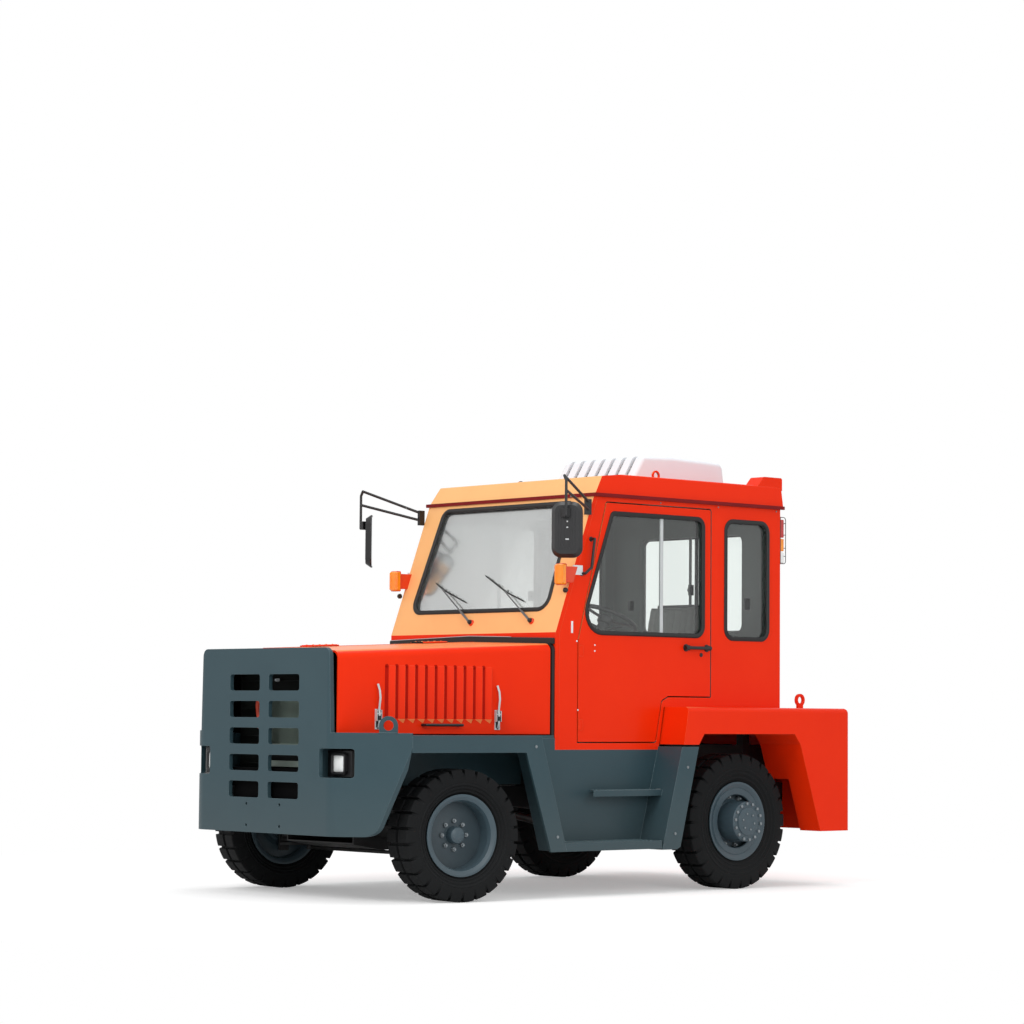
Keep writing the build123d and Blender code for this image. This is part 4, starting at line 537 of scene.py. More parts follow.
# height of the middle of the sliding panes, and how tall they are
SLIDER_Z = 1.833
SLIDER_TALL = 0.690


def screen_point(y, z, out=0.0):
    """Point on the cab's raked front face."""
    x = COWL[0] - (COWL[0] - RAIL[0]) * (z - COWL[1]) / (RAIL[1] - COWL[1])
    return Vector((x, y, z)) + SCREEN_OUT * out


def add_window_seals():
    """Black rubber sections pressed round the edges of every pane."""
    cab = Shape()
    corners = [screen_point(*corner) for corner in SCREEN]
    cab.sweep(rounded_path(corners, (0.075, 0.075, 0.045, 0.045)), SEAL, True, SCREEN_OUT)
    x, z, half_x, half_z = QUARTER
    for side, _ in SIDES:
        corners = [(x + across * half_x, side * CAB_Y, z + rise * half_z) for across, rise in CORNERS]
        cab.sweep(rounded_path(corners, 0.060), SEAL, True, (0, side, 0))
    x, z, half_y, half_z = REAR_WINDOW
    corners = [(x, across * half_y, z + rise * half_z) for across, rise in CORNERS]
    cab.sweep(rounded_path(corners, 0.050), SEAL, True, (-1, 0, 0))
    cab.piece("cab_window_seals", "black_rubber")
    for side, name in SIDES:
        door = Shape()
        corners = [(fore(x), side * CAB_Y, z) for x, z in DOOR_WINDOW]
        door.sweep(rounded_path(corners, (0.120, 0.025, 0.050, 0.060)), SEAL, True, (0, side, 0))
        door.piece(f"door_window_seal_{name}", "black_rubber", f"door_{name}")


def add_window_sliders():
    """Sliding panes: a bright divider, a dark meeting rail and the two catches."""
    for side, name in SIDES:
        inner = side * (CAB_Y - 0.016)
        post, catches = shapes(2)
        post.box((fore(-1.643), inner, SLIDER_Z), (0.022, 0.014, SLIDER_TALL))
        post.piece(f"slider_post_{name}", "latch_chrome", f"door_{name}", 0.002, look="slider_metal")
        catches.box((fore(-1.935), inner - side * 0.006, SLIDER_Z), (0.010, 0.010, SLIDER_TALL))
        for x, z in ((-1.900, 1.758), (-1.409, 1.649)):
            catches.box((fore(x), inner - side * 0.010, z), (0.034, 0.016, 0.062))
            catches.disc((fore(x), inner - side * 0.018, z), (0, -side, 0), 0.011, 0.014, 12)
        catches.piece(f"slider_catches_{name}", "black_plastic", f"door_{name}", 0.002)
    fittings = Shape()
    for side, _ in SIDES:
        fittings.box((fore(-2.375), side * (CAB_Y - 0.026), 1.690), (0.040, 0.018, 0.070))
    for y in (-0.02, 0.04):
        fittings.box((fore(-2.622), y, 1.830), (0.012, 0.016, 0.596))
    fittings.piece("cab_window_fittings", "black_plastic", bevel=0.002)


# ------------------------------------------------------------------ wheels
# how the front wheels stand turned, where they pivot and how far out of the pivot their middle is
FRONT_TURN = radians(-8)
KINGPIN_Y = 0.690
HUB_OUT = 0.122
# height of the tread blocks, the share of a pitch that one fills, and half the channel between their rows
LUG_H = 0.020
LUG_SHARE = 0.80
CHANNEL = 0.007


def wheel_place(front, side):
    """Centre and outward axle direction of a wheel as it stands."""
    if not front:
        return Vector((REAR_X, side * 0.752, REAR_R)), Vector((0, side, 0))
    out = Vector((-sin(FRONT_TURN) * side, cos(FRONT_TURN) * side, 0))
    return Vector((AXLE_X, side * KINGPIN_Y, FRONT_R)) + out * HUB_OUT, out


def ring_points(centre, out, radius, count, height, start=0.0):
    """Points evenly round an axle at one radius and height."""
    turn = frame_of(out, UP)
    return [centre + turn @ polar(radius, angle, height) for angle in turns(count, start)]


def add_tyre(name, centre, out, tyre_r, half, flange_r, lugs, body):
    """Tyre in place of its plain solid: a rounded carcass with moulded rings, and its tread blocks."""
    tread_r = tyre_r + 0.0026 - LUG_H
    wall_r = tread_r - 0.050
    shoulder = half - 0.020
    bead_h = 0.086
    wall = [(flange_r - 0.026, 0.062), (flange_r - 0.004, 0.078), (flange_r + 0.004, 0.082),
            (flange_r + 0.010, bead_h)]
    for share in (0.26, 0.52, 0.78):
        radius = flange_r + share * (wall_r - flange_r)
        height = bead_h + (half - 0.002 - bead_h) * sin(share * pi / 2)
        wall += [(radius - 0.005, height - 0.0015), (radius - 0.003, height + 0.0015),
                 (radius + 0.003, height + 0.0015), (radius + 0.005, height - 0.0010)]
    wall += [(wall_r - 0.004, half - 0.002), (wall_r + 0.016, half - 0.004),
             (tread_r - 0.012, shoulder + 0.008), (tread_r - 0.002, shoulder - 0.002)]
    carcass, blocks = shapes(2)
    other_wall = [(radius, -height) for radius, height in reversed(wall)]
    carcass.lathe(centre, out, wall + other_wall, 4 * lugs, True)
    carcass.piece(f"{name}_carcass", "tyre_rubber", body, instead=name)
    matrix = Matrix.Translation(centre) @ frame_of(out, FORWARD)
    half_angle = LUG_SHARE * pi / lugs
    crest_r = tyre_r - 0.0006
    section = ((tread_r - 0.004, CHANNEL), (crest_r, CHANNEL + 0.005), (crest_r, shoulder + 0.004),
               (tyre_r - 0.010, shoulder + 0.011), (wall_r + 0.012, half - 0.0022), (wall_r, half - 0.0035),
               (wall_r + 0.010, half - 0.012), (tread_r - 0.008, shoulder - 0.004))
    for way in (1, -1):
        for middle in turns(lugs, pi / lugs if lugs % 2 else 0.0):
            spans = [middle + half_angle * (2 * step / 3 - 1) for step in range(4)]
            blocks.skin([[matrix @ polar(radius, turn, way * height) for radius, height in section]
                         for turn in spans])
    blocks.piece(f"{name}_lugs", "tyre_rubber", body, 0.0022, instead=name)


def add_nuts(shape, points, out, radius, depth, stud_r=0.0, stud_depth=0.0):
    """Hexagonal nuts on points, with the ends of their studs where a stud has a radius."""
    for point in points:
        shape.disc(point, out, radius, depth, 6)
        if stud_r:
            shape.disc(point + out * depth, out, stud_r, stud_depth, 10)


def add_wheel_fittings():
    """Tyres, nuts, studs, caps, valves and the darker discs of the wheels."""
    for side, name in SIDES:
        centre, out = wheel_place(True, side)
        body = f"front_wheel_{name}"
        nuts, cap, dish, valve = shapes(4)
        add_nuts(nuts, ring_points(centre, out, 0.0775, 8, 0.0), out, 0.0125, 0.016, 0.0065, 0.010)
        nuts.piece(f"front_nuts_{name}", "pin_steel", body, 0.001, look="nut_steel")
        cap.lathe(centre, out, ((0.046, 0.020), (0.046, 0.040), (0.042, 0.050), (0.030, 0.056),
                                (0.012, 0.058)))
        for point in ring_points(centre, out, 0.030, 4, 0.055, 0.4):
            cap.disc(point, out, 0.004, 0.003, 6)
        cap.piece(f"front_cap_{name}", "wheel_paint", body)
        dish.lathe(centre, out, ((0.050, 0.0008), (0.086, 0.0010), (0.120, -0.0128), (0.188, -0.0128),
                                 (0.188, -0.0134), (0.120, -0.0134), (0.086, 0.0004), (0.050, 0.0004)),
                   64, True)
        dish.piece(f"front_dish_{name}", "wheel_paint", body, look="dish_paint")
        foot = ring_points(centre, out, 0.172, 1, -0.014, 0.7)[0]
        valve.disc(foot, out, 0.004, 0.034, 8)
        valve.disc(foot + out * 0.034, out, 0.0055, 0.010, 8)
        valve.piece(f"front_valve_{name}", "black_rubber", body)
        add_tyre(f"front_tyre_{name}", centre, out, FRONT_R, 0.112, 0.223, 26, body)

        centre, out = wheel_place(False, side)
        body = f"rear_wheel_{name}"
        nuts, plate, dish = shapes(3)
        add_nuts(nuts, ring_points(centre, out, 0.106, 14, 0.176, 0.1), out, 0.0095, 0.010)
        add_nuts(nuts, ring_points(centre, out, 0.048, 6, 0.184, 0.3), out, 0.006, 0.006)
        add_nuts(nuts, ring_points(centre, out, 0.144, 10, 0.030, 0.2), out, 0.012, 0.018, 0.006, 0.014)
        nuts.piece(f"rear_nuts_{name}", "pin_steel", body, 0.001, look="nut_steel")
        plate.lathe(centre, out, ((0.082, 0.176), (0.082, 0.180), (0.078, 0.183), (0.060, 0.1835)))
        plate.piece(f"rear_hub_plate_{name}", "wheel_paint", body)
        dish.lathe(centre, out, ((0.119, 0.0306), (0.131, 0.0306), (0.190, 0.0306), (0.190, 0.0302),
                                 (0.131, 0.0302), (0.119, 0.0302)), 64, True)
        dish.piece(f"rear_dish_{name}", "wheel_paint", body, look="dish_paint")
        add_tyre(f"rear_tyre_{name}", centre, out, REAR_R, 0.107, 0.231, 27, body)


# ------------------------------------------------------------------ seat
# how far the simulation may swell a pad, and the width and depths of its sewn channels and of its welt
PAD_LIMIT = 0.022
SEAM_WIDTH = 0.006
SEAM_DEPTH = 0.011
WELT_DEPTH = 0.009


def add_pad(name, node, centre, size, lean, channels):
    """Stuffed pad swollen by a short cloth simulation, then sewn: channels are its lengthwise seams."""
    bm = bmesh.new()
    bmesh.ops.create_cube(bm, size=1.0)
    bmesh.ops.subdivide_edges(bm, edges=bm.edges, cuts=7, use_grid_fill=True)
    length, width, depth = size
    for vertex in bm.verts:
        across, along, up = (2 * value for value in vertex.co)
        # corners pulled in and rounded, the crown raised a little
        pull = 1 - 0.05 * (abs(across) ** 4) * (abs(along) ** 4)
        crown = 1 - 0.16 * max(abs(across), abs(along)) ** 3
        vertex.co = (across * length / 2 * pull, along * width / 2 * pull, up * depth / 2 * crown)
    mesh = bpy.data.meshes.new(name)
    bm.to_mesh(mesh)
    bm.free()
    pad = add_object(name, mesh)
    bpy.context.view_layer.objects.active = pad
    remesh = pad.modifiers.new("remesh", "REMESH")
    remesh.mode = "VOXEL"
    remesh.voxel_size = 0.006
    bpy.ops.object.modifier_apply(modifier="remesh")
    rest = [vertex.co.copy() for vertex in mesh.vertices]
    cloth = pad.modifiers.new("cloth", "CLOTH")
    cloth.settings.use_pressure = True
    cloth.settings.uniform_pressure_force = 4.0
    cloth.settings.effector_weights.gravity = 0.0
    for number in range(1, 21):
        SCENE.frame_set(number)
    bpy.ops.object.modifier_apply(modifier="cloth")
    SCENE.frame_set(1)
    for vertex, start in zip(pad.data.vertices, rest):
        moved = vertex.co - start
        if moved.length > PAD_LIMIT:
            vertex.co = start + moved.normalized() * PAD_LIMIT
        # sewn channels on the upper face, deepest at each seam, and one welt across
        if vertex.co.z > 0:
            seam = exp(-(min(abs(vertex.co.y - channel) for channel in channels) / SEAM_WIDTH) ** 2)
            welt = exp(-(abs(vertex.co.x - length * 0.22) / SEAM_WIDTH) ** 2)
            inside = max(0.0, 1 - (2 * abs(vertex.co.x) / length) ** 8)
            vertex.co.z -= inside * (SEAM_DEPTH * seam + WELT_DEPTH * welt)
    finer = pad.modifiers.new("finer", "SUBSURF")
    finer.levels = finer.render_levels = 1
    pad.data.transform(Matrix.Translation(centre) @ Matrix.Rotation(lean, 4, "Y"))
    for polygon in pad.data.polygons:
        polygon.use_smooth = True
    pad.data.materials.clear()
    pad.data.materials.append(MATERIALS["seat_vinyl"])
    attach(pad, "chassis")
    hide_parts(node)


def add_seat():
    """The driver's two cushions with their sewn channels."""
    pads = (("seat_cushion", -1.865, 1.226, (0.372, 0.462, 0.078), 0.03),
            ("seat_backrest", -2.156, 1.452, (0.478, 0.462, 0.062), radians(90 - 11)))
    for name, x, z, size, lean in pads:
        add_pad(name, "seat_pads", (fore(x), SEAT_Y, z), size, lean, row(8, 0.056))


# ------------------------------------------------------------------ behind the front plate
def add_radiator_detail():
    """Cooling fins, oil cooler, hose, cap and near-black shroud plates seen through the slots of the front
    plate; the plates are painted shade.
    """
    face_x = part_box("radiator")[1][0]
    cooler_x = face_x + 0.028
    cooler_y = 0.09
    fins, cooler, hose, cap, shade_plates = shapes(5)
    for y in row(96, 0.0082):
        fins.box((face_x + 0.004, y, 0.965), (0.008, 0.0016, 0.650))
    for number in range(9):
        fins.box((face_x + 0.003, 0, 0.66 + number * 0.076), (0.006, 0.78, 0.006))
    fins.piece("radiator_fins", "radiator_metal", smooth=False)
    cooler.box((cooler_x, cooler_y, 0.735), (0.030, 0.36, 0.034))
    for z in (0.838, 1.098):
        cooler.box((cooler_x, cooler_y, z), (0.026, 0.36, 0.018))
    for offset in row(34, 0.010):
        cooler.box((cooler_x, cooler_y + offset, 0.968), (0.016, 0.0030, 0.244))
    for z in (0.860, 0.910, 1.000, 1.070):
        cooler.box((cooler_x - 0.004, cooler_y, z), (0.010, 0.34, 0.010))
    cooler.piece("oil_cooler", "radiator_metal", bevel=0.0015, look="cooler_metal")
    hose.tube([(cooler_x, -0.180, 0.930), (cooler_x, -0.204, 1.074), (cooler_x - 0.01, -0.12, 1.115)],
              0.017, 12, 0.03)
    hose.piece("cooler_hose", "lamp_orange", look="hose_orange")
    cap.lathe((cooler_x - 0.010, -0.030, 1.196), FORWARD,
              ((0.009, 0.0), (0.009, 0.018), (0.006, 0.024)), 20)
    cap.piece("coolant_cap", "white_plastic")
    # near-black plates beside, ahead of and under the radiator: painted shade behind the slots
    for side, _ in SIDES:
        shade_plates.box((face_x - 0.05, side * 0.478, 0.98), (0.006, 0.160, 0.70))
    shade_plates.box((face_x + 0.088, 0, 0.600), (0.006, 0.84, 0.224))
    shade_plates.box((face_x + 0.045, 0, 0.482), (0.080, 0.84, 0.006))
    shade_plates.piece("radiator_shade_plates", "black_plastic", bevel=0.001, look="deep_shade")


LAMP_Y = 0.570
LAMP_Z = 0.745
GLASS_WIDE = 0.096
GLASS_TALL = 0.092


def add_headlamps():
    """Headlamps with a dark surround and a domed, fluted glass."""
    face_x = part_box("headlamp_lenses")[1][0]
    band = [(-0.008, -0.020), (-0.008, 0.004), (-0.003, 0.006), (0.006, 0.002), (0.008, -0.020)]
    for side, name in SIDES:
        y = side * LAMP_Y
        surround, glass = shapes(2)
        corners = [(face_x - 0.006, y + across * 0.052, LAMP_Z + rise * 0.050) for across, rise in CORNERS]
        surround.sweep(rounded_path(corners, 0.016), band, True, FORWARD)
        surround.piece(f"headlamp_surround_{name}", "black_plastic", instead="headlamp_lenses")
        bmesh.ops.create_grid(glass.bm, x_segments=22, y_segments=22, size=0.5,
                              matrix=frame_of(FORWARD, (0, 1, 0)))
        for vertex in glass.bm.verts:
            across, rise = vertex.co.y * GLASS_WIDE, vertex.co.z * GLASS_TALL
            dome = 0.008 * (1 - (2 * across / GLASS_WIDE) ** 4) * (1 - (2 * rise / GLASS_TALL) ** 4)
            flute = 0.0012 * abs(sin(across / GLASS_WIDE * pi * 7))
            vertex.co = Vector((face_x - 0.012 + dome + flute, y + across, LAMP_Z + rise))
        piece = glass.piece(f"headlamp_glass_{name}", "clear_lens", instead="headlamp_lenses")
        piece.modifiers.new("thick", "SOLIDIFY").thickness = 0.006


# ------------------------------------------------------------------ hood
# half width and top of the hood at its two ends
HOOD_HALF = ((fore(0.655), 0.600), (fore(-0.770), 0.722))
HOOD_TOP = ((fore(0.655), 1.373), (fore(-0.770), 1.436))
LATCHES = (fore(0.400), fore(-0.400))
LOUVRES_X = fore(-0.014)
LOUVRES_Z = 1.132
LOUVRE_COUNT = 11
LOUVRE_PITCH = 0.065


def along_hood(pair, x):
    """Value at an X between the hood's two ends."""
    (front_x, front), (rear_x, rear) = pair
    return front + (front_x - x) / (front_x - rear_x) * (rear - front)


def add_hood_detail():
    """Painted-shade strips at the louvres, painted highlights on their slanted feet, latches, hinge screws,
    and the seal over the rear edge with a painted highlight strip along it.
    """
    taper = atan2(0.122, 1.425)
    for side, name in SIDES:
        body = f"hood_{name}"
        run = Vector((-cos(taper), side * sin(taper), 0))
        outward = Vector((sin(taper), side * cos(taper), 0))
        turn = Matrix((run, outward, UP)).transposed().to_4x4()

        def off(foot, across, out, rise):
            """Point rearward, outward and upward of a foot on the hood's side."""
            return foot + run * across + outward * out + UP * rise

        shade, ends, bright, dark = shapes(4)
        for along in row(LOUVRE_COUNT, LOUVRE_PITCH):
            foot = Vector((LOUVRES_X, side * along_hood(HOOD_HALF, LOUVRES_X), LOUVRES_Z)) + run * along
            # painted shade: a dark-red strip with a round top ahead of each slat, standing in for the
            # shadowed opening
            shade.box(off(foot, -0.0335, 0.0006, 0), (0.022, 0.0020, 0.284), turn)
            shade.disc(off(foot, -0.0335, 0, 0.142), outward, 0.011, 0.0016, 16)
            # painted highlight: a bright wedge on the slanted foot of the slat
            verts = [ends.bm.verts.new(off(foot, *corner)) for corner in
                     ((-0.024, 0, -0.145), (0.018, 0.0125, -0.145), (0.014, 0, -0.168), (0.018, 0, -0.145))]
            for face in ((0, 1, 2), (0, 2, 3), (1, 3, 2), (0, 3, 1)):
                ends.bm.faces.new([verts[index] for index in face])
        shade.piece(f"louvre_shade_strips_{name}", "red_paint", body, smooth=False, look="slot_shade")
        ends.piece(f"louvre_end_highlights_{name}", "red_paint", body, smooth=False, look="end_highlight")
        for x in LATCHES:
            foot = Vector((x, side * along_hood(HOOD_HALF, x), 0))
            bright.box(off(foot, 0, 0.002, 0.985), (0.036, 0.006, 0.110), turn)
            dark.box(off(foot, 0, 0.0062, 0.985), (0.024, 0.003, 0.088), turn)
            for across in (-0.015, 0.015):
                bright.box(off(foot, across, 0.011, 1.005), (0.004, 0.020, 0.060), turn)
            bright.disc(off(foot, -0.018, 0.015, 1.015), run, 0.004, 0.036, 10)
            lever = ((0, 0.010, 0.940), (0, 0.019, 0.965), (0, 0.021, 1.010), (0, 0.016, 1.040))
            hook = ((0, 0.016, 1.030), (0, 0.020, 1.060), (0.002, 0.024, 1.100), (-0.001, 0.022, 1.140),
                    (-0.010, 0.016, 1.176))
            for path, half_depth in ((lever, 0.0012), (hook, 0.0018)):
                path = [off(foot, *point) for point in path]
                bright.sweep(path, flat(0.006, half_depth), normal=outward)
            dark.box(off(foot, 0, 0.0225, 0.992), (0.014, 0.003, 0.024), turn)
            for z in (0.937, 1.033):
                dark.disc(off(foot, 0, 0.005, z), outward, 0.0045, 0.003, 8)
        bright.piece(f"latch_levers_{name}", "latch_chrome", body, 0.0006, look="slider_metal",
                     instead=f"hood_latches_{name}")
        dark.piece(f"latch_rivets_{name}", "black_plastic", body)
    screws, bulb, trim = shapes(3)
    for hinge_x in (fore(0.319), fore(-0.475)):
        for across in (-0.068, -0.024, 0.024, 0.068):
            for y in (-0.030, 0.030):
                top = along_hood(HOOD_TOP, hinge_x + across) + 0.0085
                screws.disc((hinge_x + across, y, top), UP, 0.006, 0.003, 10, 0.004)
    screws.piece("hinge_screws", "red_paint")
    # rubber bulb along the cab, standing a little above the hood's rear edge
    line = [Vector((COWL[0] + 0.008, y, 1.436 - 0.018 * abs(y) / 0.722))
            for y in (-0.728, -0.36, 0.0, 0.36, 0.728)]
    bulb.sweep(line, [(-0.008, 0.0), (-0.008, 0.029), (-0.004, 0.033), (0.004, 0.033), (0.008, 0.029),
                      (0.008, 0.0)], normal=UP)
    # bright strip along part of the bulb's top: a painted highlight on the rubber
    trim.sweep([point + Vector((0.001, 0, 0.033)) for point in line[:4]],
               [(-0.005, 0.0), (-0.005, 0.003), (0.006, 0.003), (0.006, 0.0)], normal=UP)
    bulb.piece("cowl_bulb", "black_rubber")
    trim.piece("cowl_bulb_highlight", "latch_chrome", look="slider_metal")


# ------------------------------------------------------------------ cab front and sides
# pivot, tip of the arm and the two ends of the blade, as Y and Z on the windscreen
WIPERS = (((-0.024, 1.548), (-0.365, 1.751), (-0.461, 1.797), (-0.150, 1.679)),
          ((0.503, 1.549), (0.206, 1.726), (-0.024, 1.830), (0.371, 1.673)))


def add_wipers():
    """Two wipers: sprung silver arm, black pivot on a red boss, rubber blade held by its carrier."""
    arms, blades, pivots, bosses = shapes(4)
    for pivot, tip, blade_from, blade_to in WIPERS:
        foot = screen_point(*pivot)
        bosses.lathe(foot - SCREEN_OUT * 0.001, SCREEN_OUT,
                     ((0.020, 0.0), (0.018, 0.008), (0.015, 0.012)), 20)
        pivots.lathe(foot + SCREEN_OUT * 0.008, SCREEN_OUT,
                     ((0.014, 0.0), (0.014, 0.010), (0.010, 0.018), (0.004, 0.019)), 20)
        raised = screen_point(*pivot, 0.020)
        path = [raised, raised.lerp(screen_point(*tip, 0.016), 0.3), screen_point(*tip, 0.012),
                screen_point(*tip)]
        arms.sweep(path[:2], flat(0.0065, 0.003), normal=SCREEN_OUT)
        arms.sweep(path[1:3], flat(0.004, 0.0018), normal=SCREEN_OUT)
        arms.tube(path[2:], 0.003)
        start, end = screen_point(*blade_from, -0.004), screen_point(*blade_to, -0.004)
        blades.sweep([start, screen_point(*tip, -0.001), end],
                     [(-0.003, -0.006), (0.003, -0.006), (0.0045, 0.0), (0.002, 0.003), (-0.002, 0.003),
                      (-0.0045, 0.0)], normal=SCREEN_OUT)
        for share in (0.12, 0.38, 0.62, 0.88):
            carrier = start.lerp(end, share) + SCREEN_OUT * 0.003
            arms.box(carrier, (0.010, 0.010, 0.006), frame_of(SCREEN_OUT))
    arms.piece("wiper_arms", "pin_steel", look="arm_metal", instead="wipers")
    blades.piece("wiper_blades", "black_rubber", instead="wipers")
    pivots.piece("wiper_pivots", "black_plastic", instead="wipers")
    bosses.piece("wiper_bosses", "lamp_orange", instead="wipers")


def add_mirror_detail():
    """Glass, moulded ribs and clamp bolts of the two mirrors."""
    for side, name in SIDES:
        turn = Matrix.Rotation(side * radians(41.3), 4, "Z")
        place = Matrix.Translation((fore(-0.739), side * 0.886, 2.055)) @ turn
        glass, ribs, studs = shapes(3)
        outline = rounded_path([(-0.0196, y * 0.079, z * 0.149) for y, z in CORNERS], 0.047)
        glass.skin([[place @ (point + FORWARD * depth) for point in outline] for depth in (0, 0.002)])
        glass.piece(f"mirror_glass_{name}", "clear_lens", smooth=False, look="mirror_glass")
        for y in row(7, 0.016):
            ribs.tube([place @ Vector((0.0185, y, z)) for z in (-0.112, 0.112)], 0.0022)
        ribs.piece(f"mirror_ribs_{name}", "black_plastic")
        for z, width in ((0.045, 0.008), (0.012, 0.010), (-0.055, 0.020)):
            studs.box(place @ Vector((0.021, 0.004, z)), (0.004, width, 0.008), turn)
        studs.piece(f"mirror_studs_{name}", "latch_chrome", bevel=0.001, look="slider_metal")


# height of the turn lamps
TURN_Z = 1.812


def add_lamp_detail():
    """Flutes and gaskets of the turn lamps; rear lamps in three colours behind a wire guard."""
    back_x, front_x = fore(-0.846), fore(-0.796)
    for side, name in SIDES:
        flutes, gasket = shapes(2)
        y = side * 0.739
        for turn in row(13, pi / 12):
            x, across = front_x - 0.024 + 0.024 * cos(turn), 0.030 * sin(turn)
            flutes.tube([(x, y + across, TURN_Z + rise) for rise in (-0.049, 0.049)], 0.0028)
        flutes.piece(f"turn_lamp_flutes_{name}", "amber_lens")
        gasket.box((back_x + 0.002, y, TURN_Z), (0.006, 0.0606, 0.1156))
        for rise in (-0.0590, 0.0590):
            gasket.box((back_x + 0.014, y, TURN_Z + rise), (0.030, 0.052, 0.004))
        gasket.piece(f"turn_lamp_gasket_{name}", "lamp_orange", bevel=0.001)
    rear_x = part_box("rear_lamps")[1][0]
    wire_x = rear_x - 0.057
    base, wires = shapes(2)
    lenses = {slot: Shape() for slot in ("red_lens", "amber_lens", "clear_lens")}
    for side, _ in SIDES:
        y = side * 0.695
        base.box((rear_x - 0.006, y, 2.085), (0.012, 0.070, 0.290))
        for lens, z, height in zip(lenses.values(), (2.158, 2.058, 1.980), (0.110, 0.076, 0.066)):
            lens.box((rear_x - 0.029, y, z), (0.034, 0.058, height))
        for across in (-0.031, 0.031):
            loop = ((rear_x - 0.004, 2.226), (wire_x, 2.226), (wire_x, 1.944), (rear_x - 0.004, 1.944))
            wires.tube([(x, y + across, z) for x, z in loop], 0.0026, 8, 0.018)
        for z in (1.990, 2.040, 2.120, 2.190):
            wires.tube([(wire_x, y - 0.032, z), (wire_x, y + 0.032, z)], 0.0024)
    base.piece("rear_lamp_base", "black_plastic", bevel=0.003, instead="rear_lamps")
    for slot, lens in lenses.items():
        lens.piece(f"rear_lamp_{slot}", slot, bevel=0.005, instead="rear_lamps")
    wires.piece("rear_lamp_guard", "pin_steel", look="arm_metal", instead="rear_lamps")


def add_cab_details():
    """Reflectors, knobs, screws and rivets on the cab's sides; door locks, handle bosses and inner trim."""
    white, dark, steel = shapes(3)
    for side, name in SIDES:
        out = (0, side, 0)
        lock, trim = shapes(2)

        def on_side(x, z, off=0.0):
            """Point on this side of the cab, or off it."""
            return fore(x), side * (CAB_Y + off), z

        white.box(on_side(-0.9595, 1.8405, 0.0045), (0.071, 0.009, 0.055))
        white.box(on_side(-0.920, 1.515, 0.0025), (0.013, 0.006, 0.068))
        dark.lathe(on_side(-0.864, 1.723), out, ((0.015, 0), (0.015, 0.010), (0.010, 0.018)), 16)
        for x, z in ((-1.100, 1.416), (-1.100, 1.382), (-0.960, 1.436), (-0.971, 1.044)):
            white.disc(on_side(x, z, PROUD), out, 0.006, 0.003, 10, 0.004)
        # feet of the grab handle
        for x, z in ((-1.065, 2.022), (-0.994, 1.822)):
            dark.lathe(on_side(x, z), out, ((0.015, 0), (0.014, 0.004), (0.009, 0.006)), 16)
        for x in (-0.905, -1.62, -2.10, -2.60):
            steel.disc(on_side(x, 2.258, PROUD), out, 0.0045, 0.003, 8)
        lock.lathe(on_side(-1.960, 1.376), out, ((0.012, 0), (0.012, 0.004), (0.009, 0.006)), 18)
        lock.box(on_side(-1.960, 1.376, 0.0065), (0.0016, 0.001, 0.009))
        for x in (-1.834, -2.006):
            lock.lathe(on_side(x, 1.416), out, ((0.022, 0), (0.022, 0.003), (0.017, 0.006)), 20)
        lock.piece(f"door_lock_{name}", "black_plastic", f"door_{name}")
        trim.box(on_side(-1.500, 1.240, -0.043), (0.640, 0.006, 0.210))
        trim.box(on_side(-1.880, 1.400, -0.043), (0.150, 0.016, 0.024))
        trim.piece(f"door_trim_{name}", "black_plastic", f"door_{name}", 0.003, look="lining")
    white.piece("side_reflectors", "white_plastic", bevel=0.0012, look="reflector")
    dark.piece("side_knobs", "black_plastic")
    steel.piece("cab_rivets", "pin_steel", look="nut_steel")


# ------------------------------------------------------------------ driver's place
WHEEL_TILT = radians(25)
RIM_R = 0.190
GRIP_R = 0.0135
PEDAL_X = fore(-1.150)
PEDAL_Z = 0.935


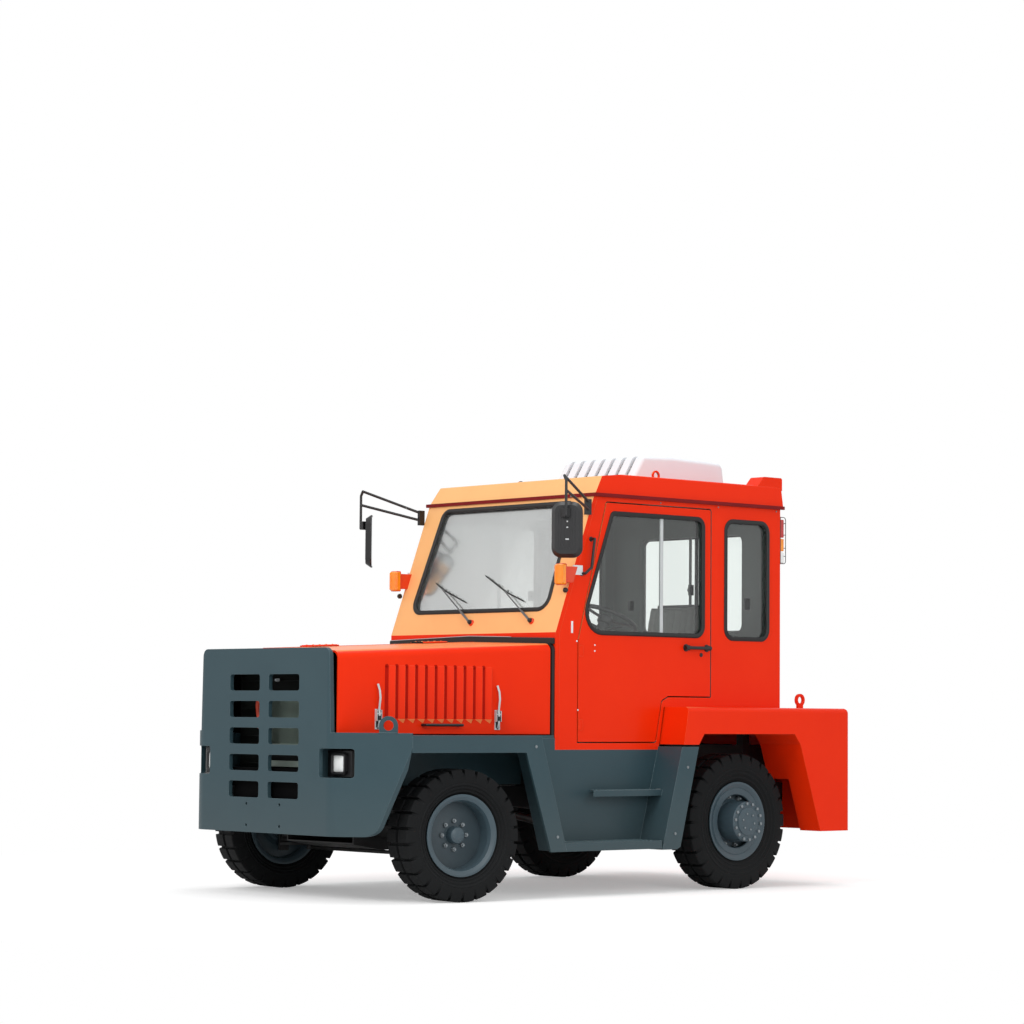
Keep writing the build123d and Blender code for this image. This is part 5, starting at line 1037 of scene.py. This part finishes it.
def add_controls():
    """Steering wheel, gauges, stalks, pedals and lever."""
    up = Vector((-sin(WHEEL_TILT), 0, cos(WHEEL_TILT)))
    centre = Vector((fore(-1.590), SEAT_Y, 1.580))
    turn = frame_of(up, (cos(WHEEL_TILT), 0, sin(WHEEL_TILT)))
    rim = Shape()
    grip = [(RIM_R + GRIP_R * cos(angle), GRIP_R * sin(angle)) for angle in turns(14)]
    rim.lathe(centre, up, grip, 72, True)
    for angle in turns(3):
        points = [centre + turn @ polar(reach, angle, rise)
                  for reach, rise in ((0.030, 0.004), (0.090, 0.000), (0.182, 0.000))]
        rim.sweep(points, [(-0.013, -0.005), (0.013, -0.005), (0.010, 0.005), (-0.010, 0.005)], normal=up)
    rim.lathe(centre - up * 0.025, up, ((0.040, 0.0), (0.046, 0.010), (0.046, 0.038), (0.038, 0.048),
                                        (0.012, 0.050)), 36)
    rim.piece("steering_wheel_rim", "black_plastic", bevel=0.001, instead="steering_wheel")
    face = Vector((-0.857, 0, 0.514))
    slope = frame_of(face)

    def on_dash(y):
        """Point on the sloping face of the dash."""
        return Vector((fore(-1.030), y, 1.380))

    bezel, dials, needles, lights, pedals = shapes(5)
    for y, radius in ((0.19, 0.038), (0.29, 0.048), (0.40, 0.038)):
        middle = on_dash(y) + face * 0.001
        bezel.lathe(middle, face, ((radius, 0), (radius + 0.005, 0), (radius + 0.004, 0.007),
                                   (radius, 0.008)), 36, True)
        dials.disc(middle, face, radius, 0.003, 36)
        needles.box(middle + face * 0.004 + Vector((0, 0.006, 0)), (0.004, radius * 1.2, 0.001), slope)
        for point in ring_points(middle, face, radius * 0.82, 11, 0.0032, 0.3):
            needles.box(point, (0.003, 0.003, 0.0006), slope)
    for number in range(6):
        lights.box(on_dash(-0.06 - 0.045 * number) + face * 0.004, (0.026, 0.030, 0.010), slope)
    bezel.piece("gauge_bezels", "latch_chrome")
    dials.piece("gauge_faces", "black_plastic")
    needles.piece("gauge_needles", "white_plastic", smooth=False)
    lights.piece("dash_switches", "black_plastic", bevel=0.002)
    lean = Matrix.Rotation(radians(-40), 4, "Y")
    for y in (0.20, 0.40):
        middle = Vector((PEDAL_X, y, PEDAL_Z))
        pedals.box(middle, (0.016, 0.090, 0.110), lean)
        for rise in row(5, 0.020):
            pedals.box(middle + lean @ Vector((-0.010, 0, rise)), (0.005, 0.080, 0.007), lean)
        pedals.tube([(fore(-1.145), y, 0.930), (fore(-1.060), y, 1.010), (fore(-1.000), y, 1.090)], 0.007)
    for side, _ in SIDES:
        pedals.tube([centre - up * drop + Vector((0, side * reach, 0))
                     for drop, reach in ((0.070, 0), (0.055, 0.10), (0.045, 0.165))], 0.006)
    lever = [(fore(x), 0.02, z) for x, z in ((-1.450, 0.856), (-1.470, 1.100), (-1.520, 1.230))]
    pedals.tube(lever, 0.009, 10, 0.10)
    pedals.lathe((fore(-1.520), 0.02, 1.225), (-0.3, 0, 1),
                 ((0.012, 0), (0.022, 0.012), (0.022, 0.034), (0.012, 0.044)), 18)
    pedals.piece("pedals_and_levers", "black_plastic", bevel=0.0015)


# ------------------------------------------------------------------ steps, roof unit, plate and underside
# outer face of the side steps, and height of the studs on them
STEP_Y = 0.934
STUD_H = 0.0026


def add_steps_detail():
    """Raised anti-slip studs on the treads and lower steps, and the bolts that hold them."""
    studs, bolts = shapes(2)
    # each field of studs: first one, pitch and count along X, the same along Y, its two radii and its level
    fields = ((-1.080, 0.026, 18, 0.752, 0.034, 3, 0.0060, 0.0042, 0.5898),
              (-0.755, 0.0305, 22, 0.770, 0.042, 4, 0.0070, 0.0050, 0.3038))
    for side, _ in SIDES:
        for first_x, pitch_x, count_x, first_y, pitch_y, count_y, radius, top, z in fields:
            for number in range(count_x * count_y):
                line, place = divmod(number, count_x)
                x, y = fore(first_x) - place * pitch_x, side * (first_y + line * pitch_y)
                studs.disc((x, y, z), UP, radius, STUD_H, 8, top)
        for x in (-1.520, -1.300, -1.120):
            bolts.disc((fore(x), side * (CAB_Y + PROUD), 0.572), (0, side, 0), 0.008, 0.007, 6)
        for x in (-1.524, -1.544):
            bolts.disc((fore(x), side * 0.816, 0.5890), UP, 0.007, 0.006, 6)
        for x, z in ((-1.655, 0.72), (-1.555, 0.34), (-0.475, 0.84), (-0.640, 0.34)):
            bolts.disc((fore(x), side * (STEP_Y + PROUD), z), (0, side, 0), 0.009, 0.005, 6)
    # the studs take a lighter grey: partly paint worn off them, partly a painted highlight
    studs.piece("step_studs", "grey_paint", look="step_edge")
    bolts.piece("step_bolts", "pin_steel", bevel=0.0008, look="nut_steel")


# top of the roof, half width of the air unit on it and the number of the unit's inlets
ROOF_Z = 2.4115
UNIT_HALF = 0.345
INLETS = 7


def add_roof_detail():
    """Grey strips of painted shade in the roof air unit's inlets, its cover screws and a seam round its
    foot.
    """
    front_x, rear_x = fore(-1.770), fore(-2.560)
    inlets, seam, screws = shapes(3)
    # a grey strip in each inlet: painted shade where the inlet looks dark
    for y in row(INLETS, (2 * UNIT_HALF - 0.050) / INLETS):
        strip = [Vector((front_x - back, y, z))
                 for back, z in ((0.0265, 2.446), (0.1065, 2.548), (0.1385, 2.554))]
        inlets.sweep(strip, flat(0.0148, 0.001), normal=(0.79, 0, 0.61))
        for share in (0.2, 0.4, 0.6, 0.8):
            seam.box(strip[0].lerp(strip[1], share) + Vector((0.006, 0, 0.004)), (0.012, 0.028, 0.003))
    ends = ((front_x + 0.002, -1), (front_x + 0.002, 1), (rear_x - 0.002, 1), (rear_x - 0.002, -1))
    foot = [(x, across * (UNIT_HALF + 0.002), ROOF_Z) for x, across in ends]
    seam.sweep(rounded_path(foot, 0.02), [(-0.004, 0), (-0.004, 0.004), (0.004, 0.004), (0.004, 0)],
               True, UP)
    for side, _ in SIDES:
        for x in (-1.95, -2.20, -2.45):
            screws.disc((fore(x), side * (UNIT_HALF - 0.001), 2.440), (0, side, 0), 0.006, 0.004, 10, 0.0045)
    inlets.piece("air_inlet_shade", "black_plastic", look="inlet_shade")
    seam.piece("air_unit_seam", "white_plastic", look="inlet_shade")
    screws.piece("air_unit_screws", "pin_steel", look="nut_steel")


# rear face of the body, to which the hitch is bolted
PLATE_X = -1.843


def add_plate_detail():
    """Weld beads at the foot of the lifting eyes and along the hitch, and the hitch's bolts."""
    weld, steel = shapes(2)
    for side, _ in SIDES:
        run = Vector((-0.291, side * 0.331, 0)).normalized()
        middle = Vector((fore(0.497), side * 0.834, 0.9125))
        weld.tube([middle + run * along for along in row(13, 0.100 / 12)], 0.0045)
    for jaw_z in (0.405, 0.505):
        for edge in (-0.0125, 0.0125):
            weld.tube([(PLATE_X - 0.010, y, jaw_z + edge) for y in (-0.080, 0.080)], 0.004)
    places = [Vector((PLATE_X - 0.008, y, z)) for y in (-0.105, 0.105) for z in (0.385, 0.525)]
    add_nuts(steel, places, -FORWARD, 0.013, 0.010, 0.007, 0.006)
    weld.piece("weld_beads", "grey_paint")
    steel.piece("hitch_bolts", "pin_steel", bevel=0.001, look="nut_steel")


def add_rounded_plate():
    """The front plate with the lower outer corner of each wing rounded."""
    plate = NODES["front_plate"]
    shape = Shape()
    bm = shape.bm
    bm.from_mesh(plate.data)
    bmesh.ops.transform(bm, matrix=plate.matrix_world, verts=bm.verts)
    bmesh.ops.remove_doubles(bm, verts=bm.verts, dist=1e-5)
    corner = Vector((0, 0.785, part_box("front_plate")[0][2]))
    rise = Vector((0, 0.150, 0.480)).normalized()
    slant = Vector((0, rise.z, -rise.y))
    radius = 0.075
    # centre of the arc lies one radius in from both edges
    inward = (slant - UP).normalized()
    centre = corner + inward * (radius / inward.dot(UP))
    for side, _ in SIDES:
        for share in (0.1, 0.3, 0.5, 0.7, 0.9):
            normal = (-UP).lerp(slant, share).normalized()
            point = centre + normal * radius
            mirror = Vector((1, side, 1))
            cut = bmesh.ops.bisect_plane(bm, geom=bm.verts[:] + bm.edges[:] + bm.faces[:], dist=1e-6,
                                         plane_co=point * mirror, plane_no=normal * mirror, clear_outer=True)
            edges = [item for item in cut["geom_cut"] if isinstance(item, bmesh.types.BMEdge)]
            bmesh.ops.edgenet_fill(bm, edges=edges)
    bmesh.ops.triangulate(bm, faces=bm.faces[:])
    shape.piece("front_plate_rounded", "grey_paint", instead="front_plate")


def add_engine_detail():
    """Head, rocker cover, manifolds, fan, belt, air cleaner, battery and hoses on the plain block."""
    iron, covers, hoses, bolts = shapes(4)
    low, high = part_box("engine_block")
    middle_x, top, side_y = (low[0] + high[0]) / 2, high[2], high[1]
    length = high[0] - low[0]
    for side in (-1, 1):
        iron.box((middle_x, side * (side_y + 0.004), top - 0.16), (length * 0.94, 0.012, 0.030))
        iron.box((middle_x, side * (side_y + 0.004), top - 0.42), (length * 0.94, 0.012, 0.024))
        for x in row(9, length * 0.105):
            iron.box((middle_x + x, side * (side_y + 0.003), top - 0.29), (0.014, 0.010, 0.22))
            bolt = (middle_x + x + 0.030, side * (side_y + 0.009), top - 0.16)
            bolts.disc(bolt, (0, side, 0), 0.009, 0.008, 6)
    # rocker cover with its ribs, filler cap and nuts
    cover = Vector((middle_x - 0.03, 0.020, top))
    covers.box(cover + UP * 0.024, (length * 0.80, 0.190, 0.048))
    for x in row(10, length * 0.078):
        covers.box(cover + Vector((x, 0, 0.049)), (0.010, 0.150, 0.008))
    for x in row(5, length * 0.18):
        for side, _ in SIDES:
            bolts.disc(cover + Vector((x, side * 0.104, 0.006)), UP, 0.009, 0.012, 6)
    iron.lathe((middle_x + length * 0.27, 0.020, top + 0.046), UP,
               ((0.026, 0.0), (0.026, 0.014), (0.020, 0.020)), 20)
    # intake pipe, exhaust manifold and their branches
    for y, z, radius, pipes in ((-0.170, top + 0.030, 0.028, iron), (0.190, top + 0.020, 0.024, hoses)):
        pipes.tube([(middle_x - length * 0.38, y, z), (middle_x + length * 0.38, y, z)], radius, 14)
        for x in row(4, length * 0.20):
            branch = ((y, z), (y * 0.72, z), (y * 0.55, top - 0.02))
            pipes.tube([(middle_x + x, *point) for point in branch], radius * 0.7, 12, 0.02)
    # fan with its pulley and belt, between the block and the radiator
    hub = Vector((high[0] + 0.045, 0, 0.960))
    iron.lathe(hub - FORWARD * 0.045, FORWARD, ((0.050, 0.0), (0.062, 0.006), (0.050, 0.016), (0.062, 0.026),
                                                (0.030, 0.032), (0.030, 0.060)), 24)
    for angle in turns(7):
        turn = Matrix.Translation(hub) @ Matrix.Rotation(angle, 4, "X")
        way = (turn.to_3x3() @ Vector((1, 0.9, 0))).normalized()
        blade = [turn @ (UP * reach) for reach in (0.030, 0.120, 0.225)]
        covers.sweep(blade, flat(0.042, 0.0015), normal=way)
    route = ((0.062, 0.960), (0.045, 0.720), (-0.045, 0.720), (-0.062, 0.960), (-0.190, 1.100),
             (-0.090, 1.150))
    belt = [(hub.x - 0.032, y, z) for y, z in route]
    hoses.sweep(rounded_path(belt, 0.040), flat(0.006, 0.005), True, FORWARD)
    # air cleaner on its brackets, its hose, and the coolant hoses to the radiator
    cleaner = Vector((middle_x - length * 0.36, -0.375, 1.080))
    covers.lathe(cleaner, FORWARD, ((0.050, 0.0), (0.078, 0.010), (0.078, 0.250), (0.084, 0.256),
                                    (0.084, 0.272), (0.060, 0.290), (0.030, 0.296)), 28)
    hoses.tube([cleaner + FORWARD * 0.280, cleaner + FORWARD * 0.400,
                (cleaner.x + 0.400, -0.170, top + 0.030)], 0.030, 14, 0.07)
    face_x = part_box("radiator")[0][0]
    for y, z in ((0.24, 1.225), (-0.24, 0.700)):
        hose = [(high[0] - 0.02, y * 0.6, z - 0.03), (face_x - 0.06, y * 0.8, z), (face_x + 0.004, y, z)]
        hoses.tube(hose, 0.024, 14, 0.04)
    # battery on its tray, with its caps and two leads
    battery = Vector((middle_x - length * 0.30, 0.400, 0.905))
    covers.box(battery, (0.230, 0.150, 0.190))
    iron.box((battery.x, 0.365, battery.z - 0.101), (0.250, 0.240, 0.012))
    for reach in (0.060, 0.210):
        iron.box((cleaner.x + reach, -0.300, cleaner.z - 0.030), (0.030, 0.120, 0.020))
    for x in row(6, 0.034):
        iron.disc(battery + Vector((x, 0.020, 0.094)), UP, 0.012, 0.008, 12)
    for side, _ in SIDES:
        post = battery + Vector((side * 0.090, -0.045, 0.096))
        bolts.disc(post, UP, 0.010, 0.022, 12)
        hoses.tube([post + Vector((0, y, z)) for y, z in ((0, 0.020), (-0.06, 0.030), (-0.110, -0.060))],
                   0.007, 8, 0.03)
    iron.piece("engine_castings", "engine_iron", bevel=0.0015)
    covers.piece("engine_covers", "black_plastic", bevel=0.0015)
    hoses.piece("engine_hoses", "black_rubber", bevel=0.0015)
    bolts.piece("engine_bolts", "pin_steel", bevel=0.0015, look="nut_steel")


# side of the leaf springs, their number of leaves and the step from one leaf to the next
SPRING_Y = 0.365
LEAVES = 4
LEAF_STEP = 0.010


def add_underside():
    """Leaf springs under the rails, sump guard, propeller shaft and the exhaust."""
    springs, pipes = shapes(2)
    for side, _ in SIDES:
        for x, z, reach in ((AXLE_X, 0.412, 0.46), (REAR_X, 0.452, 0.44)):
            for leaf in range(LEAVES):
                half = reach * (1 - 0.17 * leaf)
                middle_z = z - LEAF_STEP * leaf + 0.012
                arc = [(x + half * share, side * SPRING_Y, middle_z + 0.030 * share ** 2)
                       for share in row(13, 1 / 6)]
                springs.sweep(arc, flat(0.030, 0.0045), normal=UP)
    shaft = [(fore(-0.62), 0, 0.560), (fore(-1.98), 0, 0.420)]
    pipes.tube(shaft, 0.034, 16)
    for place, way in zip(shaft, (1, -1)):
        pipes.disc(place, (way, 0, 0), 0.055, 0.020, 20)
    pipes.tube([(fore(-0.30), -0.20, 0.520), (fore(-0.75), -0.22, 0.470), (fore(-1.30), -0.24, 0.430),
                (fore(-1.80), -0.50, 0.360)], 0.026, 14, 0.12)
    guard = [(fore(ahead), 0, z)
             for ahead, z in ((0.30, 0.300), (0.10, 0.266), (-0.34, 0.266), (-0.52, 0.36))]
    springs.sweep(guard, [(-0.300, -0.004), (0.300, -0.004), (0.300, 0.060), (0.292, 0.060), (0.292, 0.004),
                          (-0.292, 0.004), (-0.292, 0.060), (-0.300, 0.060)], normal=UP)
    springs.piece("leaf_springs", "chassis_paint", bevel=0.001)
    pipes.piece("shaft_and_exhaust", "chassis_paint")


for add in (dress_solids, add_camera, add_stage, add_window_seals, add_window_sliders, add_wheel_fittings,
            add_seat, add_radiator_detail, add_headlamps, add_hood_detail, add_wipers, add_mirror_detail,
            add_lamp_detail, add_cab_details, add_controls, add_steps_detail, add_roof_detail,
            add_plate_detail, add_rounded_plate, add_engine_detail, add_underside):
    add()
